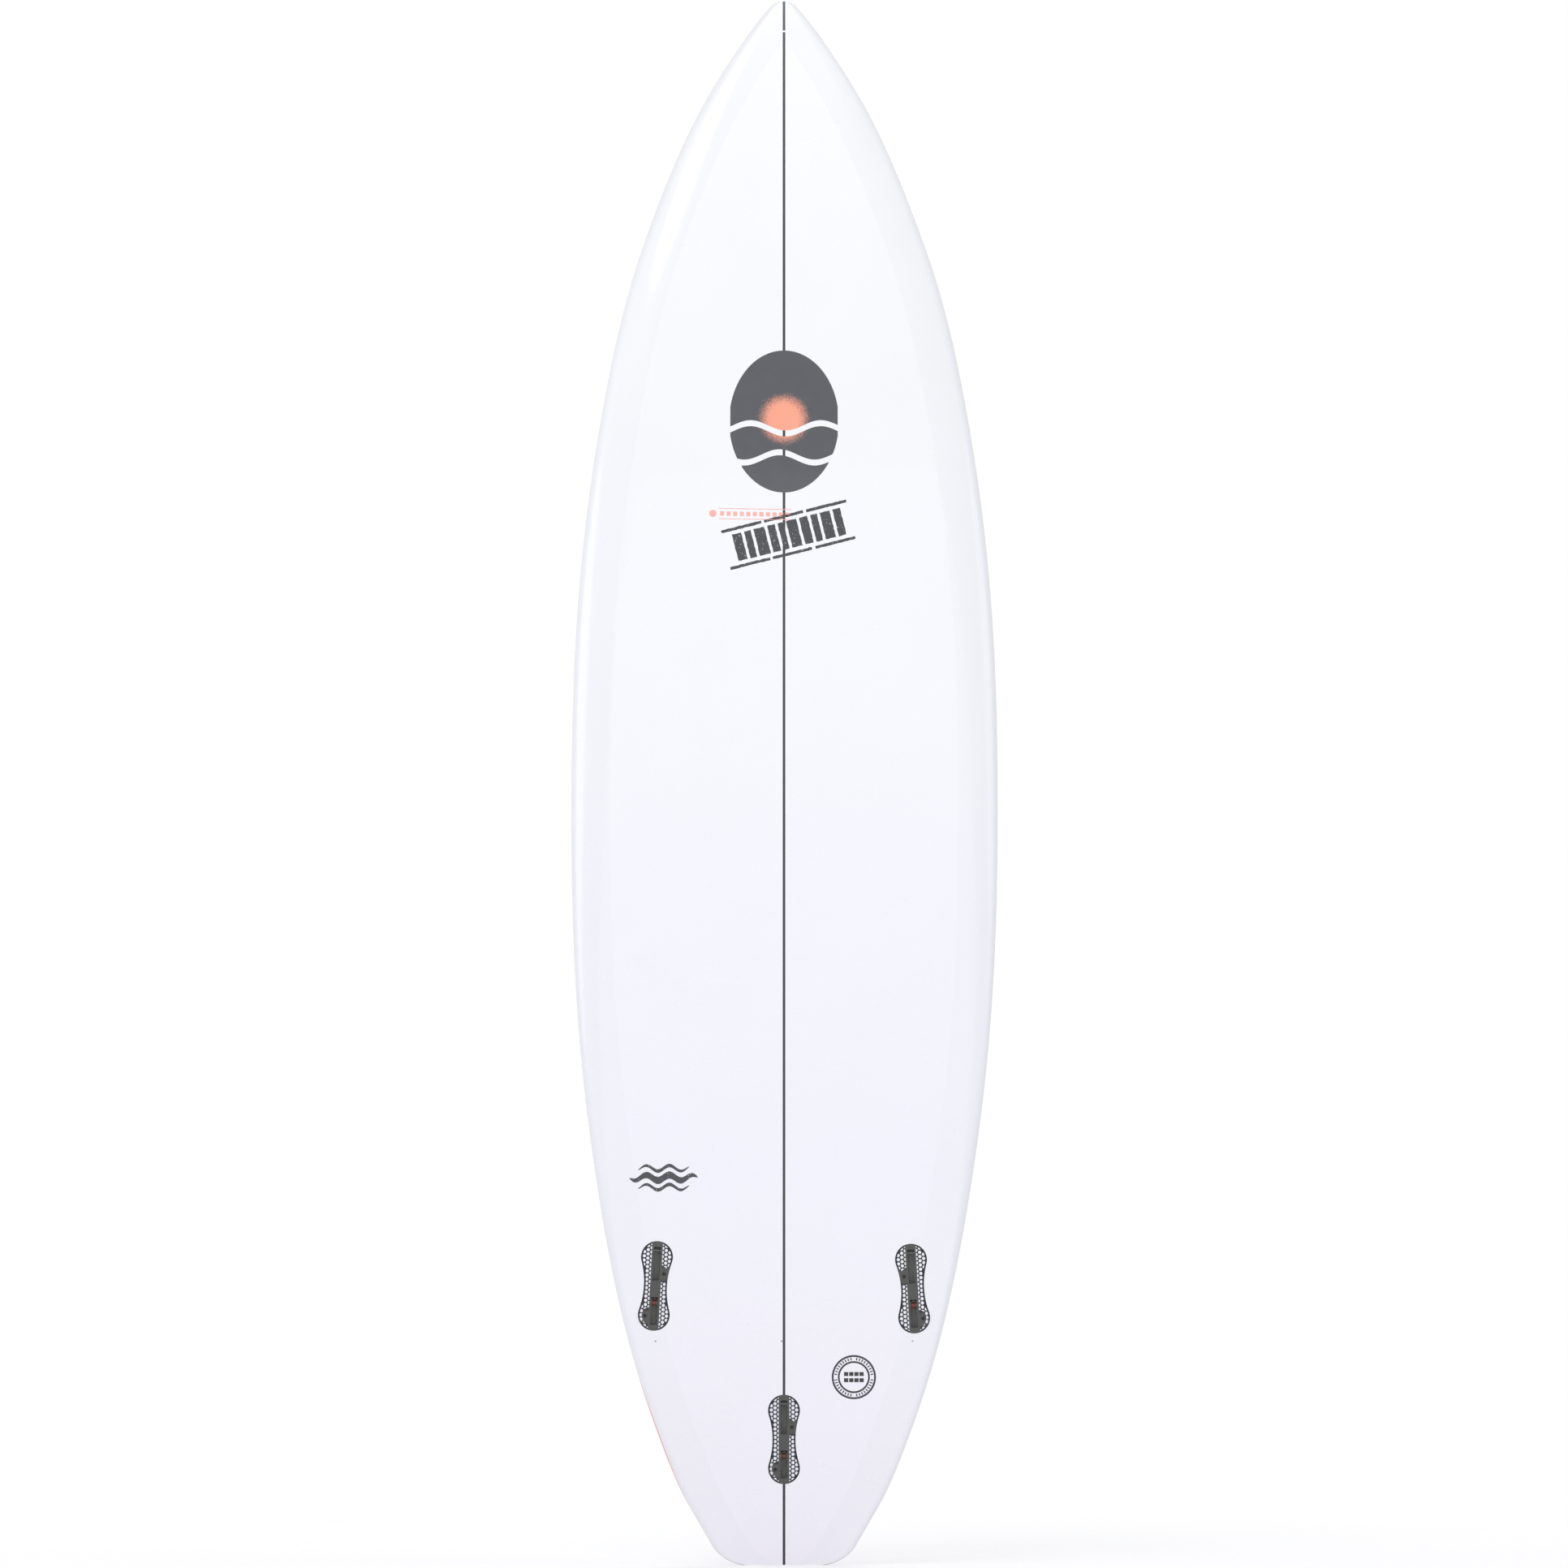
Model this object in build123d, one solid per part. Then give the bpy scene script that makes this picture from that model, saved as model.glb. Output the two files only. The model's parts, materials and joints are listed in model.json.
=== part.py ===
from build123d import *
import math
import os

import numpy as np

# Shortboard surfboard, thruster fin layout, no fins fitted. Millimetres.
# The board stands on its tail: +Z runs from tail to nose, the bottom faces -Y, and +X is to the
# right of a person who looks at the bottom. The origin is the centre of the flat tail end.

# ---- driving dimensions: hull ---------------------------------------------------------------
LENGTH = 1828.8            # 6 ft 0 in
NOSE_ROCKER = 127.0        # rise of the bottom at the nose tip
TAIL_ROCKER = 57.0         # rise of the bottom at the tail end
FLAT_SPOT_Z = 880.0        # where the bottom touches a level floor
TAIL_ROCKER_POWER = 2.0
NOSE_ROCKER_POWER = 2.2

TAIL_FLAT_HALF = 44.0      # half width of the straight end of the squash tail
TAIL_CORNER_R = 47.0       # plan radius of each tail corner
TAIL_CORNER_TOP = 24.5     # where the corner arc runs into the rail line
NOSE_R = 22.0              # plan radius of the nose tip
NOSE_FLAT_HALF = 6.0       # half width of the blunt end of the nose
NOSE_ARC_BASE = 1821.9     # where the nose arc starts

# (height above the tail end, half width), between the tail corner arc and the nose arc
RAIL_LINE = (
    (74.0, 113.5), (141.0, 142.5), (217.0, 168.6), (305.0, 192.0), (445.0, 218.3),
    (610.0, 238.8), (762.0, 247.6), (914.0, 249.2), (1066.0, 245.3), (1219.0, 232.4),
    (1357.0, 211.3), (1490.0, 180.8), (1604.0, 141.2), (1699.0, 98.4), (1765.0, 58.7),
)
# (height, thickness on the centreline)
FOIL = (
    (0.0, 13.0), (75.0, 25.0), (152.0, 31.0), (305.0, 40.0), (610.0, 57.0), (860.0, 63.4),
    (1067.0, 61.8), (1219.0, 56.0), (1524.0, 35.5), (1676.0, 24.5), (1790.0, 15.5),
    (1828.8, 12.0),
)
FOIL_END_SLOPES = (0.20, -0.09)
# (height, rail apex height as a share of the thickness)
RAIL_APEX = ((0.0, 0.24), (305.0, 0.18), (914.0, 0.36), (1524.0, 0.46), (1828.8, 0.50))
# (height, width of the rounded tuck between the flat bottom and the rail apex)
RAIL_TUCK = ((0.0, 4.0), (305.0, 7.0), (610.0, 30.0), (914.0, 52.0), (1524.0, 46.0), (1828.8, 6.0))
# (height, depth of the bottom concave)
CONCAVE = ((0.0, 1.0), (305.0, 3.6), (914.0, 2.4), (1524.0, 0.3), (1828.8, 0.0))
DECK_FULLNESS = (0.70, 0.62)  # handles of the deck's curve at the rail and in the middle
ELLIPSE = 0.5523           # handle length that makes a cubic curve a quarter ellipse
HALVINGS = 40              # steps of the search for a point on the deck's curve
NOSE_ROUND = (12.0, 0.50)  # length of the rounding at the nose tip, share of thickness left
TAIL_ROUND = (9.0, 0.75)   # the same at the tail end

SKIN = 1.2                 # laminate thickness
END_SKIN = 2.5             # laminate thickness at nose and tail, where the laps double up
GLUE_GAP = 0.1             # between the foam and the laminate
LAP_ABOVE_APEX = 1.0       # the two skins meet this far above the rail apex
STRINGER_HALF = 1.6
BEYOND = 20.0              # how far a cutting solid reaches past the board's ends
HALF_BOX = 1000.0          # size across of the box that keeps one half of the core

# ---- driving dimensions: fin plugs ----------------------------------------------------------
# In a plug's own frame u runs forward along the board, v across it, and n out of the bottom.
SIDE_PLUG_X = 150.0
LEFT_PLUG_Z = 326.6        # the two side plugs are set by hand and differ a little
RIGHT_PLUG_Z = 323.5
CENTRE_PLUG_Z = 147.0
TOE_IN = 3.0               # degrees, side plugs only

PLUG_DEPTH = 16.0
LOBE_R = 18.5
LOBE_U = 34.0              # lobe centres, ahead of and behind the plug's middle
WAIST_HALF = 13.3
PLUG_GAP = 0.1             # bond line round the plug
PROUD = 4.0                # cutters start this far outside the surface
RIM = 1.8                  # solid ring round the cells
BAR_HALF = 6.2             # solid bar that holds both slots
CELL_PITCH = 4.95
CELL_R = 1.9
CELL_ROWS = 3              # on each side of the slot bar
CELL_REACH = 11            # cells drawn on each side of the plug's middle, before the trimming
CELL_MIN_AREA = 1.6        # slivers of cells smaller than this are left solid
FLANGE_DEPTH = 2.6         # the flange holds the cells, the box below it holds the slots
# solid pads for the two grub screws, as corners (u, v)
FRONT_PAD = ((25.5, 6.0), (18.5, 15.5), (8.5, 15.5), (4.0, 6.0))
REAR_PAD = ((-25.0, -6.0), (-28.0, -12.8), (-35.0, -14.4), (-41.5, -12.3), (-48.5, -6.0))

SLOT_HALF = 4.0
SLOT_DEPTH = 14.0
SLOT_CORNER_R = 1.5
FRONT_SLOT = (6.0, 46.0)   # u of its rear and front end
REAR_SLOT = (-46.0, -13.0)

HOOK_BAR_R = 1.5
HOOK_BAR_U = 41.5
HOOK_BAR_DEPTH = 6.0
HOOK_BAR_HALF = 7.0
SHAFT_GAP = 0.03           # radial clearance of a pin or shaft in its hole

ROLLER_U = -20.0
ROLLER_DEPTH = 7.0
ROLLER_R = 3.5
ROLLER_HALF = 2.3
ROLLER_CROWN = 0.6         # rounding of the roller's edges
ROLLER_TRAVEL = 2.0
AXLE_R = 1.0
AXLE_HALF = 4.8
AXLE_SLOT_HALF = 5.0       # reach of the axle slots from the plug's middle
CARRIER_HALF = 3.7
CARRIER_CHEEK = 0.9
CARRIER_CORNER_R = 1.2     # front corners, which pass the slot's rounded end
CARRIER_REAR_U = -22.6
CARRIER_PLATE_U = -16.1    # rear face of the plate that joins the cheeks
CARRIER_PLATE = 0.8
CARRIER_DEPTHS = (4.0, 10.0)
SPRING_R = 2.4
SPRING_BORE_R = 2.8
SPRING_END_U = -7.0
RUN_GAP = 0.05             # face-to-face play between moving pieces

SCREW_R = 2.4
SCREW_LENGTH = 7.5
SCREW_TIP = 1.0
SCREW_SUNK = 1.0
SCREW_HOLE_GAP = 0.05
SCREW_HOLE_LENGTH = 11.5
HEX_ACROSS_FLATS = 2.4
HEX_DEPTH = 2.4
# (u, v, tilt towards the slot in degrees)
FRONT_SCREW = (14.5, 8.8, 20.0)
REAR_SCREW = (-35.5, -9.9, 24.0)

# ---- driving dimensions: leash plug on the deck ---------------------------------------------
LEASH_X = 26.0
LEASH_Z = 82.0
CUP_R = 14.0
CUP_DEPTH = 14.0
BOWL_R = 10.5
BOWL_DEPTH = 12.0
BOWL_FLOOR_R = 4.0         # rounding of the bowl's floor
BOWL_MOUTH = 0.8           # chamfer of the bowl's mouth
LEASH_PIN_R = 2.0
LEASH_PIN_HALF = 12.6
LEASH_PIN_DEPTH = 4.0


# ---- hull shape -----------------------------------------------------------------------------
def smooth_curve(points, end_slopes):
    """A cubic spline through (z, value) points, with a given slope at each end."""
    z = np.array([point[0] for point in points], float)
    value = np.array([point[1] for point in points], float)
    span = np.diff(z)
    chord = np.diff(value) / span
    count = len(z)
    matrix = np.eye(count)
    right = np.zeros(count)
    right[0], right[-1] = end_slopes
    for i in range(1, count - 1):
        before, after = 1 / span[i - 1], 1 / span[i]
        matrix[i, i - 1:i + 2] = before, 2 * (before + after), after
        right[i] = 3 * (chord[i - 1] * before + chord[i] * after)
    slope = np.linalg.solve(matrix, right)

    def at(height):
        i = int(np.clip(np.searchsorted(z, height) - 1, 0, count - 2))
        t = (height - z[i]) / span[i]
        start = (1 + 2 * t) * (1 - t) ** 2 * value[i] + t * (1 - t) ** 2 * span[i] * slope[i]
        end = t * t * (3 - 2 * t) * value[i + 1] + t * t * (t - 1) * span[i] * slope[i + 1]
        return float(start + end)

    return at


NOSE_CENTRE_Z = LENGTH - math.sqrt(NOSE_R**2 - NOSE_FLAT_HALF**2)


def tail_corner(z):
    return TAIL_FLAT_HALF + math.sqrt(TAIL_CORNER_R**2 - (TAIL_CORNER_R - z) ** 2)


def nose_arc(z):
    return math.sqrt(NOSE_R**2 - (z - NOSE_CENTRE_Z) ** 2)


tail_join = tail_corner(TAIL_CORNER_TOP)
nose_join = nose_arc(NOSE_ARC_BASE)
tail_slope = (TAIL_CORNER_R - TAIL_CORNER_TOP) / (tail_join - TAIL_FLAT_HALF)
nose_slope = -(NOSE_ARC_BASE - NOSE_CENTRE_Z) / nose_join
rail_line = smooth_curve(
    ((TAIL_CORNER_TOP, tail_join), *RAIL_LINE, (NOSE_ARC_BASE, nose_join)),
    (tail_slope, nose_slope),
)
foil = smooth_curve(FOIL, FOIL_END_SLOPES)
apex_share = smooth_curve(RAIL_APEX, (0, 0))
tuck_width = smooth_curve(RAIL_TUCK, (0, -0.2))
concave = smooth_curve(CONCAVE, (0, 0))


def half_width(z):
    if z < TAIL_CORNER_TOP:
        return tail_corner(z)
    if z > NOSE_ARC_BASE:
        return nose_arc(z)
    return rail_line(z)


def end_rounding(distance, length, share):
    """1 away from an end, falling along a quarter ellipse to share at the end itself."""
    reach = min(distance / length, 1)
    return share + (1 - share) * math.sqrt(1 - (1 - reach) ** 2)


def thickness(z):
    return foil(z) * end_rounding(LENGTH - z, *NOSE_ROUND) * end_rounding(z, *TAIL_ROUND)


def rocker(z):
    if z < FLAT_SPOT_Z:
        return TAIL_ROCKER * ((FLAT_SPOT_Z - z) / FLAT_SPOT_Z) ** TAIL_ROCKER_POWER
    return NOSE_ROCKER * ((z - FLAT_SPOT_Z) / (LENGTH - FLAT_SPOT_Z)) ** NOSE_ROCKER_POWER


def base_y(z):
    """Y of the flat line between the two rails' bottom edges."""
    return rocker(z) - TAIL_ROCKER - thickness(0) / 2


def apex_height(z):
    return apex_share(z) * thickness(z)


def flat_half(z):
    """Half width of the bottom between the rail tucks."""
    return half_width(z) - min(tuck_width(z), half_width(z) / 2)


def bottom_y(x, z):
    return base_y(z) + concave(z) * (1 - (x / flat_half(z)) ** 2)


def deck_y(x, z):
    """Y of the deck's cubic curve at x, found by halving the curve's parameter."""
    width, dome = half_width(z), thickness(z) - apex_height(z)
    low, high = 0.0, 1.0
    for _ in range(HALVINGS):
        t = (low + high) / 2
        reach = (1 - t) ** 2 * (1 + 2 * t) + 3 * DECK_FULLNESS[1] * (1 - t) * t * t
        low, high = (t, high) if width * reach > abs(x) else (low, t)
    rise = 3 * DECK_FULLNESS[0] * (1 - t) ** 2 * t + t * t * (3 - 2 * t)
    return base_y(z) + apex_height(z) + dome * rise


def hull_section(z, inset, drawn_z):
    """The board's cross-section at z, shrunk by inset, drawn at height drawn_z."""
    width, top = half_width(z) - inset, thickness(z) - inset
    flat, apex, depth = flat_half(z), apex_height(z), concave(z)
    run, rise = ELLIPSE * (width - flat), ELLIPSE * (apex - inset)
    up, out = DECK_FULLNESS[0] * (top - apex), DECK_FULLNESS[1] * width

    def curve(*points):
        return Bezier(*[(x, base_y(drawn_z) + y, drawn_z) for x, y in points])

    return Wire([
        curve((-flat, inset), (0, inset + 2 * depth), (flat, inset)),
        curve((flat, inset), (flat + run, inset), (width, apex - rise), (width, apex)),
        curve((width, apex), (width, apex + up), (out, top), (0, top)),
        curve((0, top), (-out, top), (-width, apex + up), (-width, apex)),
        curve((-width, apex), (-width, apex - rise), (-flat - run, inset), (-flat, inset)),
    ])


TAIL_STATIONS = [0, 1.2, 3.5, 8, 15, 24.5, 38, 58]
BODY_STATIONS = list(np.linspace(90, 1740, 31))
NOSE_STATIONS = [1770, 1790, 1805, 1815, 1821.9, 1825.6, 1827.7, LENGTH]


def hull(inset, end_inset):
    """The board's outer shape, shrunk by inset all round and by end_inset at nose and tail."""
    shrink = (LENGTH - 2 * end_inset) / LENGTH
    stations = TAIL_STATIONS + BODY_STATIONS + NOSE_STATIONS
    return Solid.make_loft([hull_section(z, inset, end_inset + z * shrink) for z in stations])


# ---- foam, stringer and skins ---------------------------------------------------------------
def half_space_below_seam():
    """Everything on the bottom side of the line where the two skins meet."""
    tail, nose = -BEYOND, LENGTH + BEYOND
    stations = [tail, *TAIL_STATIONS[::3], *BODY_STATIONS[::2], *NOSE_STATIONS[::3], nose]
    seam = []
    for z in stations:
        inside = min(max(z, 0.0), LENGTH)
        seam.append(Vector(0, base_y(inside) + apex_height(inside) + LAP_ABOVE_APEX, z))
    lowest = -HALF_BOX / 2
    corners = [seam[-1], Vector(0, lowest, nose), Vector(0, lowest, tail), seam[0]]
    outline = Wire([Spline(seam), *Polyline(corners).edges()])
    return extrude(Face(outline), amount=HALF_BOX / 2, dir=(1, 0, 0), both=True)


def foam_and_stringer(plug_pockets):
    core = hull(SKIN + GLUE_GAP, END_SKIN + GLUE_GAP)
    tall = 2 * (LENGTH + BEYOND)
    slab = Box(2 * STRINGER_HALF, HALF_BOX, tall)
    right = Pos(HALF_BOX / 2, 0, 0) * Box(HALF_BOX, HALF_BOX, tall)
    left = Pos(-HALF_BOX / 2, 0, 0) * Box(HALF_BOX, HALF_BOX, tall)
    for pocket in plug_pockets:
        core -= pocket
    return {
        "foam_core_left": (core & left) - slab,
        "foam_core_right": (core & right) - slab,
        "stringer": core & slab,
    }


def skins(outer, plug_pockets):
    shell = outer - hull(SKIN, END_SKIN)
    below = half_space_below_seam()
    for pocket in plug_pockets:
        shell -= pocket
    return {"bottom_laminate": shell & below, "deck_laminate": shell - below}


# ---- fin plugs ------------------------------------------------------------------------------
def surface_frame(surface_y, x, z, outward, toe=0.0):
    """A plane on the skin at (x, z): its Z points out of the board, its X forward."""
    step = 1.0
    slope_x = (surface_y(x + step, z) - surface_y(x - step, z)) / (2 * step)
    slope_z = (surface_y(x, z + step) - surface_y(x, z - step)) / (2 * step)
    normal = Vector(-slope_x, 1, -slope_z).normalized() * outward
    turn = math.radians(toe)
    heading = Vector(math.sin(turn), 0, math.cos(turn))
    forward = (heading - normal * heading.dot(normal)).normalized()
    return Plane(origin=(x, surface_y(x, z), z), x_dir=forward, z_dir=normal)


def peanut(inset):
    """The plug's two-lobed outline, shrunk by inset."""
    waist_r = (LOBE_U**2 + WAIST_HALF**2 - LOBE_R**2) / (2 * (LOBE_R - WAIST_HALF))
    waist_v = WAIST_HALF + waist_r
    reach = math.hypot(LOBE_U, waist_v)
    lobe = LOBE_R - inset
    u = LOBE_U * (1 - lobe / reach)
    v = lobe * waist_v / reach
    waist = WAIST_HALF - inset
    outline = [
        ThreePointArc((u, v), (LOBE_U + lobe, 0), (u, -v)),
        ThreePointArc((u, -v), (0, -waist), (-u, -v)),
        ThreePointArc((-u, -v), (-LOBE_U - lobe, 0), (-u, v)),
        ThreePointArc((-u, v), (0, waist), (u, v)),
    ]
    return make_face(outline)


def cells(hand):
    """The round resin cells, cut off at the rim, at the slot bar and at the screw pads."""
    column = CELL_PITCH * math.sqrt(3) / 2
    spots = []
    for side in (-1, 1):
        for row in range(CELL_ROWS):
            v = side * (BAR_HALF + row * column)
            stagger = CELL_PITCH / 2 if row % 2 else 0
            columns = range(-CELL_REACH, CELL_REACH)
            spots += [(i * CELL_PITCH + stagger, v) for i in columns]
    discs = Sketch() + [Pos(u, v) * Circle(CELL_R) for u, v in spots]
    area = peanut(RIM) - Rectangle(LENGTH, 2 * BAR_HALF)
    for pad in (FRONT_PAD, REAR_PAD):
        area -= Polygon(*[(u, hand * v) for u, v in pad], align=None)
    return [face for face in (discs & area).faces() if face.area > CELL_MIN_AREA]


def across(radius, u, depth, half):
    """A round bar across the plug, centred on it."""
    return Pos(u, 0, -depth) * Rot(90, 0, 0) * Cylinder(radius, 2 * half)


def slot(ends):
    rear, front = ends
    outline = RectangleRounded(front - rear, 2 * SLOT_HALF, SLOT_CORNER_R)
    return Pos((rear + front) / 2, 0, -SLOT_DEPTH) * extrude(outline, SLOT_DEPTH + PROUD)


def screw_axis(spot, hand):
    """A location at the skin on a grub screw's axis, with its Z out along the screw."""
    u, v, tilt = spot
    return Pos(u, hand * v, 0) * Rot(-math.copysign(tilt, hand * v), 0, 0)


def grub_screw():
    screw = Pos(0, 0, -SCREW_LENGTH / 2) * Cylinder(SCREW_R, SCREW_LENGTH)
    screw = chamfer(screw.edges().group_by(Axis.Z)[0], SCREW_TIP)
    hex_r = HEX_ACROSS_FLATS / math.sqrt(3)
    return screw - extrude(RegularPolygon(hex_r, 6), -HEX_DEPTH)


def roller_carrier():
    """A yoke: two cheeks joined by a plate ahead of the roller."""
    high, low = CARRIER_DEPTHS
    length = CARRIER_PLATE_U + CARRIER_PLATE - CARRIER_REAR_U
    middle = CARRIER_REAR_U + length / 2
    yoke = Pos(middle, 0, -(high + low) / 2) * Box(length, 2 * CARRIER_HALF, low - high)
    yoke = fillet(yoke.edges().filter_by(Axis.Z).group_by(Axis.X)[-1], CARRIER_CORNER_R)
    gap = 2 * (CARRIER_HALF - CARRIER_CHEEK)
    yoke -= Pos(CARRIER_PLATE_U - length / 2, 0, -(high + low) / 2) * Box(length, gap, low)
    return yoke - across(AXLE_R + SHAFT_GAP, ROLLER_U, ROLLER_DEPTH, AXLE_HALF)


def roller():
    wheel = across(ROLLER_R, ROLLER_U, ROLLER_DEPTH, ROLLER_HALF)
    wheel = fillet(wheel.edges().filter_by(GeomType.CIRCLE), ROLLER_CROWN)
    return wheel - across(AXLE_R + RUN_GAP, ROLLER_U, ROLLER_DEPTH, AXLE_HALF)


def spring_bar(radius, start_u):
    """A round bar along the plug, from start_u forward to the end of the spring bore."""
    length = SPRING_END_U - start_u
    return Pos(start_u + length / 2, 0, -ROLLER_DEPTH) * Rot(0, 90, 0) * Cylinder(radius, length)


def axle_slots():
    """The slots in both side walls that guide the axle's ends."""
    width = 2 * (AXLE_R + RUN_GAP)
    outline = SlotCenterToCenter(ROLLER_TRAVEL, width)
    cutter = extrude(outline, AXLE_SLOT_HALF, both=True)
    return Pos(ROLLER_U + ROLLER_TRAVEL / 2, 0, -ROLLER_DEPTH) * Rot(90, 0, 0) * cutter


def fin_plug(name, plane, hand, outer):
    """All the pieces of one fin plug, in the board's frame, as a dict of nodes."""
    place = plane.location
    flange = place * Pos(0, 0, -FLANGE_DEPTH) * extrude(peanut(0), FLANGE_DEPTH + PROUD)
    flange = flange & outer
    box = Pos(0, 0, -PLUG_DEPTH) * extrude(peanut(0), PLUG_DEPTH - FLANGE_DEPTH)
    holes = [slot(FRONT_SLOT), slot(REAR_SLOT)]
    for spot in (FRONT_SCREW, REAR_SCREW):
        drill = Cylinder(SCREW_R + SCREW_HOLE_GAP, SCREW_HOLE_LENGTH + PROUD)
        middle = (PROUD - SCREW_HOLE_LENGTH) / 2
        holes.append(screw_axis(spot, hand) * Pos(0, 0, middle) * drill)
    wells = [Pos(0, 0, -FLANGE_DEPTH) * extrude(f, FLANGE_DEPTH + PROUD) for f in cells(hand)]
    flange -= [place * cutter for cutter in holes + wells]
    box -= holes
    box -= across(HOOK_BAR_R + SHAFT_GAP, HOOK_BAR_U, HOOK_BAR_DEPTH, HOOK_BAR_HALF + RUN_GAP)
    box -= axle_slots()
    box -= spring_bar(SPRING_BORE_R, REAR_SLOT[1] - SPRING_R)
    screw = Pos(0, 0, -SCREW_SUNK) * grub_screw()
    axle = across(AXLE_R, ROLLER_U, ROLLER_DEPTH, AXLE_HALF)
    spring_start = CARRIER_PLATE_U + CARRIER_PLATE + RUN_GAP
    return {
        f"fin_plug_flange_{name}": flange,
        f"fin_plug_box_{name}": place * box,
        f"hook_bar_{name}": place * across(HOOK_BAR_R, HOOK_BAR_U, HOOK_BAR_DEPTH, HOOK_BAR_HALF),
        f"roller_carrier_{name}": place * roller_carrier(),
        f"roller_axle_{name}": place * axle,
        f"roller_{name}": place * roller(),
        f"roller_spring_{name}": place * spring_bar(SPRING_R, spring_start),
        f"front_grub_screw_{name}": place * screw_axis(FRONT_SCREW, hand) * screw,
        f"rear_grub_screw_{name}": place * screw_axis(REAR_SCREW, hand) * screw,
    }


def plug_pocket(plane):
    """The routed pocket that a fin plug sits in."""
    deep = PLUG_DEPTH + PLUG_GAP
    return plane.location * Pos(0, 0, -deep) * extrude(peanut(-PLUG_GAP), deep + PROUD)


# ---- leash plug -----------------------------------------------------------------------------
def leash_plug(plane, outer):
    place = plane.location
    blank = Pos(0, 0, (PROUD - CUP_DEPTH) / 2) * Cylinder(CUP_R, CUP_DEPTH + PROUD)
    bowl = Pos(0, 0, (PROUD - BOWL_DEPTH) / 2) * Cylinder(BOWL_R, BOWL_DEPTH + PROUD)
    bowl = fillet(bowl.edges().group_by(Axis.Z)[0], BOWL_FLOOR_R)
    mouth = Pos(0, 0, PROUD / 2) * Cone(
        BOWL_R - BOWL_MOUTH, BOWL_R + BOWL_MOUTH + PROUD, PROUD + 2 * BOWL_MOUTH
    )
    pin = Pos(0, 0, -LEASH_PIN_DEPTH) * Rot(90, 0, 0) * Cylinder(LEASH_PIN_R, 2 * LEASH_PIN_HALF)
    pin_hole = Pos(0, 0, -LEASH_PIN_DEPTH) * Rot(90, 0, 0) * Cylinder(
        LEASH_PIN_R + SHAFT_GAP, 2 * (LEASH_PIN_HALF + PLUG_GAP)
    )
    cup = (place * blank) & outer
    for cutter in (bowl, mouth, pin_hole):
        cup -= place * cutter
    return {"leash_plug_cup": cup, "leash_plug_pin": place * pin}


def leash_pocket(plane):
    deep = CUP_DEPTH + PLUG_GAP
    return plane.location * Pos(0, 0, (PROUD - deep) / 2) * Cylinder(CUP_R + PLUG_GAP, deep + PROUD)


# ---- assembly -------------------------------------------------------------------------------
def build():
    outer = hull(0, 0)
    plugs = {
        "left": (surface_frame(bottom_y, -SIDE_PLUG_X, LEFT_PLUG_Z, -1, TOE_IN), -1),
        "right": (surface_frame(bottom_y, SIDE_PLUG_X, RIGHT_PLUG_Z, -1, -TOE_IN), 1),
        "centre": (surface_frame(bottom_y, 0, CENTRE_PLUG_Z, -1), -1),
    }
    leash = surface_frame(deck_y, LEASH_X, LEASH_Z, 1)
    pockets = [plug_pocket(plane) for plane, _ in plugs.values()] + [leash_pocket(leash)]
    nodes = foam_and_stringer(pockets)
    nodes.update(skins(outer, pockets))
    for name, (plane, hand) in plugs.items():
        nodes.update(fin_plug(name, plane, hand, outer))
    nodes.update(leash_plug(leash, outer))
    return nodes


os.makedirs("parts", exist_ok=True)
for node, shape in build().items():
    export_step(shape, f"parts/{node}.step")
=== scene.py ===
import json
import math

import bmesh
import bpy
import numpy as np
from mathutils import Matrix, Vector

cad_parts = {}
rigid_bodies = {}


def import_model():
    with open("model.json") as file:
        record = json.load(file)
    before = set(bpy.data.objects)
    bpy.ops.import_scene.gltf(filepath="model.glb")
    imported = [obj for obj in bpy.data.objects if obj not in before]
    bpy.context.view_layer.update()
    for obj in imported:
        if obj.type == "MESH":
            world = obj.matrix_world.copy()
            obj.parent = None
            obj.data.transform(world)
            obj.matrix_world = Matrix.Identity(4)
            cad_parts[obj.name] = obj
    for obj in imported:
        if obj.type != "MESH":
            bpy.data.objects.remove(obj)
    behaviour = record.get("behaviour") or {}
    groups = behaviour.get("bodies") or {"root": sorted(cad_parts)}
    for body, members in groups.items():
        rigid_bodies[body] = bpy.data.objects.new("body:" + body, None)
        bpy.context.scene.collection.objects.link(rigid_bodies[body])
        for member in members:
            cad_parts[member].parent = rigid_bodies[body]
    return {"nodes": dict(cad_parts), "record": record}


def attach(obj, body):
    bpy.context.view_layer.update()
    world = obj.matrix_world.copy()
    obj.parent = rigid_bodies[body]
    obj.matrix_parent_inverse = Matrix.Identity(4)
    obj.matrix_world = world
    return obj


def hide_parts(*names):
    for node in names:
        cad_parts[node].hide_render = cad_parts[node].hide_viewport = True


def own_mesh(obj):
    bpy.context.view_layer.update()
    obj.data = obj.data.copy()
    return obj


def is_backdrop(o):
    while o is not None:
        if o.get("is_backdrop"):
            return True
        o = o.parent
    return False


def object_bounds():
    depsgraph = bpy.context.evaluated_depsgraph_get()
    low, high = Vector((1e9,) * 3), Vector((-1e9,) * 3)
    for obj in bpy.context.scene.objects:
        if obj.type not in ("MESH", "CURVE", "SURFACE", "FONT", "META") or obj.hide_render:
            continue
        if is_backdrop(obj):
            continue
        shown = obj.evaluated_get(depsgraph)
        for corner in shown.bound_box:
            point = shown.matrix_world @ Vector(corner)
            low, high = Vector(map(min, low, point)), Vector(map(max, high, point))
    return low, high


# Looks of a shortboard surfboard. The board stands on its tail: +Z runs from tail to nose, the
# bottom faces -Y and +X is to the right of a person who looks at the bottom. Shapes are worked
# out in millimetres and turned to metres as each mesh is made.

MM = 0.001

for item in list(bpy.data.objects):
    bpy.data.objects.remove(item)
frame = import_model()
cad_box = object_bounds()

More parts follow.
